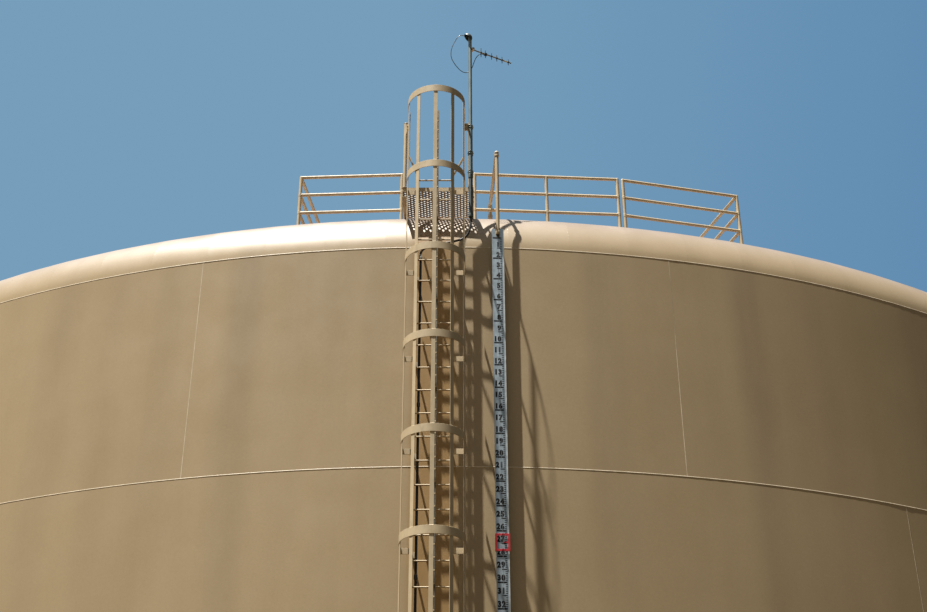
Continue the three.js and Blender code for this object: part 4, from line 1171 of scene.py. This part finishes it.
def make_deck():
    look = settings()
    sheet, skin, depth, wall_thickness = 0.006, 0.003, 0.009, 0.0015
    foot_radius = look.hole_size / 2
    mouth = foot_radius + 0.006
    deck = Shape(wall())
    points, faces, holes = punched_plate(
        DECK_LEFT, DECK_RIGHT, -DECK_OUT, DECK_IN, skin, look.hole_pitch, 2 * mouth + 0.002, 0.030)
    deck.add([point + Vector((0, 0, DECK_TOP - skin / 2)) for point in points], faces)
    funnel = ((-0.0001, mouth + wall_thickness), (-0.0001, mouth), (-depth, foot_radius),
              (-depth, foot_radius + wall_thickness), (-skin, mouth + wall_thickness))
    for x, y in holes:
        deck.loft([[(x + across * reach, y + along * reach, DECK_TOP + drop) for drop, reach in funnel]
                   for across, along in circle(16)], closed=True)
    foot, under = DECK_TOP - SIDE_DEPTH, DECK_TOP - skin - GAP
    back = -DECK_OUT + sheet
    deck.box((DECK_LEFT, DECK_RIGHT), (-DECK_OUT, back), (DECK_TOP - FASCIA_DEPTH, under), 0.001)
    for x, side in ((DECK_LEFT, 1), (DECK_RIGHT, -1)):
        outline = [(back, foot), (back, under)]
        for i in range(15):
            z = under + (foot - under) * i / 14
            rise = asin(min(1.0, (z - SHELL_TOP) / (KNUCKLE_RADIUS + 0.002)))
            y = SHELL_RADIUS - sqrt(knuckle_point(rise, 0.002)[0] ** 2 - x ** 2)
            outline.append((min(y, DECK_IN), z))
        deck.loft([[(x + side * t, y, z) for y, z in outline] for t in (0.0, sheet)])
        lip = (back, outline[-1][0] - 0.004)
        deck.box((x + side * sheet, x + side * 0.05), lip, (foot, foot + sheet), 0.001)
        for y in (-0.03, 0.09, 0.21):
            deck.bolt((x, y, DECK_TOP - 0.035), (-side, 0, 0), 0.009, 0.007)
    piece("landing_deck", deck, "trim", ["landing_platform"])


def make_grab_post(name, x):
    side = copysign(1, x)
    face = CAGE_SHIFT + side * (CAGE_RADIUS - FLAT)
    foot = DECK_TOP + GAP
    post = Shape(wall())
    post.rod((x, -GRAB_OUT, foot), (x, -GRAB_OUT, GRAB_TOP - 0.004), POST_RADIUS, 20, 0.002)
    cap = ((0, POST_RADIUS + 0.002), (0.004, POST_RADIUS), (0.006, POST_RADIUS * 0.5))
    post.turned((x, -GRAB_OUT, GRAB_TOP - 0.006), UP, cap, 20)
    post.turned((x, -GRAB_OUT, foot), UP, ((0, 0.040), (0.007, 0.040), (0.012, 0.025)), 20)
    tab = ((x, -GRAB_OUT), (x - side * 0.026, -TAB_OUT), (face + side * GAP, -TAB_OUT))
    post.strip(tab, 0.008, *TAB_SPAN)
    for level in (0.030, 0.080):
        place = (face + side * 0.030, -TAB_OUT - 0.004, TAB_SPAN[0] + level)
        post.bolt(place, OUT, 0.008, 0.006)
    piece(f"grab_post_{name}_pipe", post, "trim", [f"grab_post_{name}"])


class TANK_OT_landing(bpy.types.Operator):
    """Builds the landing with its punched deck, side plates and grab posts"""

    bl_idname = "tank.landing"
    bl_label = "Landing"

    def execute(self, context):
        make_deck()
        for name, x in GRAB_POSTS.items():
            make_grab_post(name, x)
        return {"FINISHED"}


def railing_post(shape, x, y):
    """A pipe post with its foot plate on the sloping roof."""
    foot = roof_height((shape.matrix @ Vector((x, y, 0))).xy.length)
    shape.rod((x, y, foot - 0.001), (x, y, RAILING_TOP), RAILING_PIPE, 16)
    shape.box((x - 0.027, x + 0.027), (y - 0.055, y + 0.055), (foot - 0.004, foot + 0.010), 0.001)
    shape.turned((x, y, foot + 0.009), UP, ((0, RAILING_PIPE + 0.007), (0.007, RAILING_PIPE)), 16)
    collar = ((0, RAILING_PIPE), (0.003, RAILING_PIPE + 0.002),
              (0.049, RAILING_PIPE + 0.002), (0.052, RAILING_PIPE))
    for level in (1, 2):
        shape.turned((x, y, RAILING_TOP - level * RAILING_PITCH - 0.026), UP, collar, 16)


class TANK_OT_railing(bpy.types.Operator):
    """Builds the pipe railing along the roof edge and its two end returns"""

    bl_idname = "tank.railing"
    bl_label = "Railing"

    def execute(self, context):
        levels = [RAILING_TOP - i * RAILING_PITCH for i in range(3)]
        for name, (centre, turn, length, posts) in RAILING_PANELS.items():
            half = length / 2
            panel = Shape(plan_frame(centre, turn))
            for i in range(posts):
                railing_post(panel, -half + length * i / (posts - 1), 0.0)
            for side in (-1, 1):
                panel.ball((side * half, 0, RAILING_TOP), RAILING_PIPE + 0.0005, 16)
            for z in levels:
                panel.rod((-half, 0, z), (half, 0, z), RAILING_PIPE - 0.001, 16)
            piece(f"railing_{name}_pipes", panel, "trim", [f"railing_{name}"])
        for name, (side, turn) in RAILING_RETURNS.items():
            centre, panel_turn, length, posts = RAILING_PANELS[name]
            corner = plan_frame(centre, panel_turn) @ Vector((side * length / 2, 0, 0))
            end_rail = Shape(plan_frame(corner.xy, turn))
            end = RETURN_GAP + RETURN_LENGTH
            railing_post(end_rail, 0.0, end)
            end_rail.ball((0, end, RAILING_TOP), RAILING_PIPE + 0.0005, 16)
            for z in levels:
                end_rail.rod((0, RETURN_GAP - 0.003, z), (0, end, z), RAILING_PIPE - 0.001, 16)
            piece(f"railing_return_{name}_pipes", end_rail, "trim", [f"railing_return_{name}"])
        return {"FINISHED"}


def digit_shapes():
    """Each digit's points and faces, its low left corner, and its width and height."""
    found = {}
    for digit in "0123456789":
        curve = bpy.data.curves.new("digit", "FONT")
        curve.body = digit
        curve.offset = 0.045
        curve.resolution_u = 4
        curve.extrude = 0.5
        points, faces = mesh_of(curve, 1e-5)
        low, left = min(point.y for point in points), min(point.x for point in points)
        wide, tall = max(point.x for point in points) - left, max(point.y for point in points) - low
        found[digit] = (points, faces, left, low, wide, tall)
    return found


def make_board():
    half, sheet, front = HALF_BOARD, 0.003, -BOARD_OUT
    low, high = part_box("gauge_board")
    span = (low.z, high.z)
    back = front + BOARD_DEPTH
    board = Shape(wall(GAUGE_ANGLE))
    board.box((-half, half), (front, front + sheet), span, 0.0008)
    for side in (-1, 1):
        board.box((side * half, side * (half - sheet)), (front + sheet * 0.7, back), span, 0.0008)
        board.box((side * (half - sheet * 0.7), side * (half - 0.018)), (back - sheet, back), span, 0.0008)
    for i in range(7):
        z = low.z + 0.1 + (SHELL_TOP - 0.2 - low.z) * i / 6
        board.box((-0.030, 0.030), (front + sheet, -0.0005), (z, z + 0.040), 0.001)
        board.box((-0.070, 0.070), (-0.006, -GAP), (z - 0.015, z + 0.055), 0.001)
        for side in (-1, 1):
            board.bolt((side * 0.055, -0.006, z + 0.02), OUT, 0.008, 0.006)
            rivet = (side * 0.066, front + 0.0005, z + 0.02)
            board.turned(rivet, OUT, ((0, 0.005), (0.0015, 0.004)), 8)
    piece("gauge_board_sheet", board, "board", ["gauge_board"])


def make_marks():
    half = HALF_BOARD
    face, proud = -BOARD_OUT + 0.0002, -BOARD_OUT - 0.0006
    height = settings().digit_height
    digits = digit_shapes()
    stretch = 0.039 / digits["0"][4]
    marks = Shape(wall(GAUGE_ANGLE))
    for number in range(GAUGE_LAST + 1):
        line = GAUGE_ZERO - number * GAUGE_PITCH
        start, thick = (0.064, 0.0065) if number % 2 else (0.010, 0.0095)
        marks.box((start - half, 0.121 - half), (proud, face), (line - thick, line + thick))
        for tick in range(1, 6 if number < GAUGE_LAST else 1):
            z = line - GAUGE_PITCH * tick / 6
            marks.box((0.102 - half, 0.126 - half), (proud, face), (z - 0.0042, z + 0.0042))
        for place, digit in enumerate(reversed(str(number))):
            points, faces, left, low, wide, tall = digits[digit]
            x0 = 0.098 - 0.048 * place - 0.0215 - wide * stretch / 2 - half
            # Four copies, each nudged a little, make the strokes bold
            for copy, (nudge, rise) in enumerate(((-0.003, 0), (0, -0.001), (0, 0.001), (0.003, 0))):
                front = proud - copy * 0.0001
                marks.add([(x0 + (point.x - left) * stretch + nudge, front if point.z > 0 else face,
                            line + 0.018 + (point.y - low) * height / tall + rise)
                           for point in points], faces)
    piece("gauge_numbers", marks, "marks", crease=30)


def make_target():
    low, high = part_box("level_target")
    span, middle = (low.z, high.z), (low.z + high.z) / 2
    y, rear = -WIRE_OUT, -BOARD_OUT - 0.008
    front = rear - 0.006
    wide, bar, lap = 0.086, 0.025, 0.001
    target = Shape(wall(GAUGE_ANGLE))
    for side in (-1, 1):
        target.box((side * wide, side * (wide - bar)), (front, rear), span, 0.0012)
        target.box((side * (HALF_BOARD + 0.005), side * wide), (rear - lap, rear + 0.034), span, 0.001)
    for z0, z1 in ((low.z, low.z + bar), (high.z - bar, high.z)):
        target.box((bar - wide - lap, wide - bar + lap), (front, rear), (z0, z1), 0.0012)
        eye = ((z0 + z1) / 2 - 0.006, (z0 + z1) / 2 + 0.006)
        for side in (-1, 1):
            target.box((side * 0.009, side * 0.0026), (y - 0.009, rear - lap), eye, 0.0008)
        target.box((-0.009, 0.009), (y - 0.009, y - 0.0027), eye, 0.0008)
    target.box((0.007, wide - bar + lap), (front, rear), (middle - 0.006, middle + 0.006), 0.0012)
    piece("target_frame", target, "red", ["level_target"], body="target")


def make_guide():
    y, inner, r = -WIRE_OUT, GUIDE_IN, GUIDE_RADIUS
    foot = roof_height(SHELL_RADIUS - inner) - 0.004
    guide = Shape(wall(GAUGE_ANGLE))
    guide.disc((0, y, GUIDE_MOUTH), UP, r, GUIDE_TOP - GUIDE_MOUTH)
    collar = ((0.006, r + 0.001), (0.010, r + 0.003), (0.056, r + 0.003), (0.060, r + 0.001))
    guide.turned((0, y, GUIDE_MOUTH), UP, collar)
    guide.ball((0, y, GUIDE_TOP), r + 0.006, 20)
    guide.ball((0, inner, GUIDE_TOP), r + 0.006, 20)
    band = ((0, r), (0.004, r + 0.007), (0.024, r + 0.007), (0.028, r))
    guide.turned((0, y, GUIDE_TOP - 0.060), UP, band)
    guide.turned((0, y + 0.030, GUIDE_TOP), (0, 1, 0), band)
    guide.rod((0, y, GUIDE_TOP), (0, inner, GUIDE_TOP), r, 24)
    guide.rod((0, inner, GUIDE_TOP), (0, inner, foot), r, 24)
    guide.slot = 2
    for low, high in GUIDE_COUPLINGS:
        sleeve = ((0, r), (0.004, r + 0.008), (high - low - 0.004, r + 0.008), (high - low, r))
        guide.turned((0, inner, low), UP, sleeve)
    guide.slot = 0
    guide.turned((0, inner, foot), UP, ((0, r + 0.035), (0.018, r + 0.035), (0.020, r + 0.032)))
    for i in range(4):
        turn = pi * (i + 0.5) / 2
        guide.bolt((0.050 * cos(turn), inner + 0.050 * sin(turn), foot + 0.019), UP, 0.007, 0.006)
    # A black disc just inside the pipe's open foot: painted shade of its bore.
    guide.slot = 1
    guide.disc((0, y, GUIDE_MOUTH - 0.0004), UP, r - 0.005, 0.001)
    piece("guide_pipe_run", guide, "trim marks rungs", ["gauge_guide_pipe"])


def make_wire():
    y, foot = -WIRE_OUT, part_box("gauge_wire")[0].z
    steps = 360
    wire = Shape(wall(GAUGE_ANGLE))
    for strand in range(3):
        path = []
        for i in range(steps + 1):
            turn = 2 * pi * (i / 6 + strand / 3)
            z = foot + 0.016 + (GUIDE_MOUTH + 0.02 - foot) * i / steps
            path.append((0.0009 * cos(turn), y + 0.0009 * sin(turn), z))
        wire.tube(path, 0.0011, 5)
    wire.box((-0.008, 0.008), (y - 0.008, -BOARD_OUT - GAP), (foot, foot + 0.024), 0.001)
    wire.bolt((0, y - 0.008, foot + 0.012), OUT, 0.005, 0.004)
    piece("gauge_wire_strands", wire, "wire", ["gauge_wire"])


class TANK_OT_gauge(bpy.types.Operator):
    """Makes the numbered gauge board, its wire, the red target and the guide pipe"""

    bl_idname = "tank.gauge"
    bl_label = "Level gauge"

    def execute(self, context):
        for make in (make_board, make_marks, make_target, make_guide, make_wire):
            make()
        return {"FINISHED"}


def make_mast():
    at = wall(0, MAST_X, -MAST_OUT)
    post_x = GRAB_POSTS["right"] - MAST_X
    post_front = MAST_OUT - GRAB_OUT - POST_RADIUS - GAP
    tab_start = CAGE_SHIFT + CAGE_RADIUS - FLAT + GAP - MAST_X
    foot, rise = MAST_SPLICE + GAP, SLEEVE_TOP - MAST_SPLICE
    mast = Shape(at)
    mast.rod((0, 0, foot), (0, 0, MAST_TOP), POST_RADIUS, 24, 0.001)
    mast.turned((0, 0, foot), UP, ((0, SLEEVE_RADIUS), (rise - 0.004, SLEEVE_RADIUS), (rise, POST_RADIUS)))
    mast.slot = 1
    mast.box((tab_start, -0.010), (-0.004, 0.004), TAB_SPAN, 0.001)
    mast.slot = 0
    bend = [(0.0315 * cos(pi * i / 12), -0.0315 * sin(pi * i / 12)) for i in range(13)]
    for z in (*MAST_CLAMPS, TAB_SPAN[0] + 0.055):
        span = (z - 0.016, z + 0.016)
        mast.box((post_x - 0.010, post_x + 0.010), (0.027, post_front), span, 0.001)
        mast.box((-0.036, 0.036), (0.026, 0.031), span, 0.001)
        for level in span:
            mast.tube([(x, y, level) for x, y in ((0.0315, 0.036), *bend, (-0.0315, 0.036))], 0.004, 8)
        for side in (-1, 1):
            mast.bolt((side * 0.0315, 0.030, z + 0.016), (0, 1, 0), 0.007, 0.004)
    hub = ((0, SLEEVE_RADIUS + 0.003), (0.055, SLEEVE_RADIUS + 0.003), (0.060, SLEEVE_RADIUS))
    mast.turned((0, 0, foot), UP, hub)
    piece("mast_pipe", mast, "mast trim", ["mast"])

    lower = Shape(at)
    lower.rod((0, 0, MAST_FOOT + 0.06), (0, 0, MAST_SPLICE), POST_RADIUS + 0.003, 20, 0.002)
    gland = ((0, 0.020), (0.012, 0.024), (0.016, 0.034), (0.050, 0.034), (0.054, 0.030), (0.080, 0.030))
    lower.turned((0, 0, MAST_FOOT), UP, gland, 12)
    block = (DECK_TOP - 0.055, DECK_TOP - 0.015)
    lower.box((-0.030, 0.030), (0.020, MAST_OUT - DECK_OUT - GAP), block, 0.002)
    cuff = ((0, 0.029), (0.004, 0.032), (0.046, 0.032), (0.050, 0.028))
    lower.turned((0, 0, MAST_SPLICE - 0.05), UP, cuff, 20)
    piece("lower_conduit", lower, "hood", ["mast_lower_conduit"])


def make_weatherhead():
    head = Shape(wall(0, MAST_X, -MAST_OUT))
    mouth = Vector((HOOD_CENTRE[0] - MAST_X, 0, HOOD_CENTRE[1]))
    back = Vector((1, 0, 1)).normalized()
    r = HOOD_RADIUS
    dome = [(r * sin(k * pi / 16), r * cos(k * pi / 16)) for k in range(8)]
    head.turned(mouth, back, [(0.014, 0.010), (0.014, r - 0.007), (0.0005, r - 0.004), *dome, (r, 0.004)], 28)
    head.slot = 2
    head.disc((0, 0, MAST_TOP + GAP), UP, 0.0235, HOOD_CENTRE[1] - MAST_TOP, 20)
    for side in (-1, 1):
        head.bolt((0, side * 0.0235, MAST_TOP + 0.035), (0, side, 0), 0.006, 0.006)
    # A black disc deep in the mouth: painted shade of the hood's hollow.
    head.slot = 1
    head.disc(mouth + back * 0.0125, back, r - 0.009, 0.001, 28)
    piece("weatherhead_hood", head, "hood marks mast", ["weatherhead"])


def make_aerial():
    aerial = Shape(wall(0, MAST_X, -MAST_OUT, BOOM_HEIGHT) @ plan_frame((0, 0), BOOM_TURN))
    start, end = POST_RADIUS + GAP, BOOM_LENGTH
    aerial.rod((start, 0, 0), (end - 0.004, 0, 0), 0.009, 16, 0.001)
    aerial.slot = 2
    aerial.box((start, start + 0.030), (-0.034, 0.034), (-0.019, 0.019), 0.002)
    aerial.slot = 3
    aerial.rod((end - 0.105, 0, 0), (end - 0.060, 0, 0), 0.0096, 16, 0.0005)
    aerial.slot = 1
    for x, length in zip(ELEMENT_PLACES, ELEMENT_LENGTHS):
        aerial.rod((x, 0, -length / 2), (x, 0, length / 2), 0.0048, 10, 0.001)
        aerial.box((x - 0.010, x + 0.010), (-0.011, 0.011), (-0.0125, 0.0125), 0.002)
    driven = ELEMENT_PLACES[1]
    aerial.box((driven - 0.022, driven + 0.022), (-0.016, 0.016), (-0.024, 0.016), 0.004)
    aerial.rod((end - 0.010, 0, 0), (end, 0, 0), 0.0105, 14, 0.002)
    for side in (-1, 1):
        aerial.bolt((start + 0.030, side * 0.022, 0.0), (1, 0, 0), 0.006, 0.006)
    piece("aerial_elements", aerial, "boom cord rungs band", ["aerial"])


def make_riser():
    riser = Shape(wall(0, RISER_X, -RISER_OUT))
    riser.rod((0, 0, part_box("conduit_riser")[0].z), (0, 0, RISER_TOP - 0.01), RISER_RADIUS, 16)
    coupling = ((0, 0.017), (0.004, 0.021), (0.056, 0.021), (0.06, 0.017))
    for z in COUPLING_HEIGHTS:
        riser.turned((0, 0, z - 0.03), UP, coupling, 16)
    # A wire tie goes behind the riser and crosses before the rung
    bend = [(0.0178 * cos(pi * k / 6), 0.0178 * sin(pi * k / 6),
             -0.0130 * cos(pi * k / 6)) for k in range(7)]
    front = RISER_OUT - 0.2125
    tie = [(0.0, front, 0.0), (0.012, front + 0.0035, -0.0125), (0.0178, front + 0.0225, -0.0130), *bend,
           (-0.0178, front + 0.0225, 0.0130), (-0.012, front + 0.0035, 0.0125), (0.0, front, 0.0)]
    for i in range(5, RUNG_COUNT, 4):
        rung = TOP_RUNG - i * RUNG_PITCH
        riser.tube([(x, y, rung + z) for x, y, z in tie], 0.0016, 6)
    riser.slot = 1
    connector = ((0, 0.017), (0.004, 0.022), (0.030, 0.022), (0.034, 0.019), (0.058, 0.019), (0.064, 0.015))
    riser.turned((0, 0, RISER_TOP - 0.0645), UP, connector, 12)
    piece("riser_pipe", riser, "black zinc", ["conduit_riser"])


class TANK_OT_mast(bpy.types.Operator):
    """Makes the mast with its clamps, lower conduit, weatherhead, aerial and riser"""

    bl_idname = "tank.mast"
    bl_label = "Mast and aerial"

    def execute(self, context):
        for make in (make_mast, make_weatherhead, make_aerial, make_riser):
            make()
        return {"FINISHED"}


def make_floor(scene, reach=260.0):
    mesh = bpy.data.meshes.new("floor")
    corners = ((-reach, -reach), (reach, -reach), (reach, reach), (-reach, reach))
    mesh.from_pydata([(x, y, -0.001) for x, y in corners], [], [(0, 1, 2, 3)])
    g = Graph("floor_pale")
    mottled = g.mix(g.cloud(0.12, 0.3, 0.7), (0.36, 0.36, 0.355), (0.39, 0.39, 0.385))
    mesh.materials.append(g.finish(mottled, 0.9))
    floor = bpy.data.objects.new("floor", mesh)
    scene.collection.objects.link(floor)
    floor.visible_diffuse = floor.visible_glossy = False


def make_key(scene):
    lamp = bpy.data.lights.new("key", "SUN")
    lamp.energy, lamp.color, lamp.angle = SUN_ENERGY, SUN_COLOUR, radians(SUN_ANGLE)
    key = bpy.data.objects.new("key", lamp)
    scene.collection.objects.link(key)
    rise = radians(settings().sun_elevation)
    key.rotation_mode = "QUATERNION"
    towards = on_tank(settings().sun_azimuth, cos(rise), sin(rise))
    key.rotation_quaternion = towards.to_track_quat("Z", "Y")


def make_surroundings(scene):
    """Light that grows towards the zenith and one side, and a plain backdrop for the camera alone."""
    scene.world = bpy.data.worlds.new("studio")
    g = Graph(owner=scene.world)
    x, _, z = g.split(g.place)[:3]
    light = g.mix(g.spread(z, -0.06, 0.04, smooth=False), LIGHT_BELOW, LIGHT_ABOVE)
    light = g.mix(g.spread(z, 0.40, 0.90, smooth=False), light, LIGHT_ZENITH)
    turned = g.node("ShaderNodeVectorMath", {0: g.place, 1: LIGHT_TURN}, operation="DOT_PRODUCT")
    gain = g.math("ADD", turned.outputs["Value"], 1.0)
    lit = g.node("ShaderNodeVectorMath", {0: light, "Scale": gain}, operation="SCALE").outputs[0]
    backdrop = g.mix(g.spread(x, -0.05, 0.33, smooth=False), BACKDROP_LEFT, BACKDROP_RIGHT)
    seen = g.node("ShaderNodeLightPath").outputs["Is Camera Ray"]
    g.feed(g.tree.nodes["Background"].inputs["Color"], g.mix(seen, lit, backdrop))


class TANK_OT_stage(bpy.types.Operator):
    """Lays the pale floor and sets the soft key light and the fill round the tank"""

    bl_idname = "tank.stage"
    bl_label = "Stage"

    def execute(self, context):
        for make in (make_floor, make_key, make_surroundings):
            make(context.scene)
        context.scene.view_settings.view_transform = "Standard"
        return {"FINISHED"}


OPERATORS = (
    TANK_OT_camera,
    TANK_OT_cords,
    TANK_OT_shell,
    TANK_OT_roof,
    TANK_OT_seams,
    TANK_OT_roof_fittings,
    TANK_OT_ladder,
    TANK_OT_cage,
    TANK_OT_landing,
    TANK_OT_railing,
    TANK_OT_gauge,
    TANK_OT_mast,
    TANK_OT_stage,
)


class TANK_PT_panel(bpy.types.Panel):
    """Lists the tank's pieces and its main sizes and colours"""

    bl_idname = "TANK_PT_panel"
    bl_label = "Storage tank"
    bl_space_type = "VIEW_3D"
    bl_region_type = "UI"
    bl_category = "Tank"

    def draw(self, context):
        column = self.layout.column(align=True)
        for name in TankSettings.__annotations__:
            column.prop(settings(), name)
        for operator in OPERATORS:
            self.layout.operator(operator.bl_idname)


CLASSES = (TankSettings, *OPERATORS, TANK_PT_panel)


def register():
    for made in CLASSES:
        bpy.utils.register_class(made)
    bpy.types.Scene.tank_settings = bpy.props.PointerProperty(type=TankSettings)


def unregister():
    del bpy.types.Scene.tank_settings
    for made in reversed(CLASSES):
        bpy.utils.unregister_class(made)


def main():
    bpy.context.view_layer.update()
    register()
    for operator in OPERATORS:
        group, name = operator.bl_idname.split(".")
        getattr(getattr(bpy.ops, group), name)()


if __name__ == "__main__":
    main()
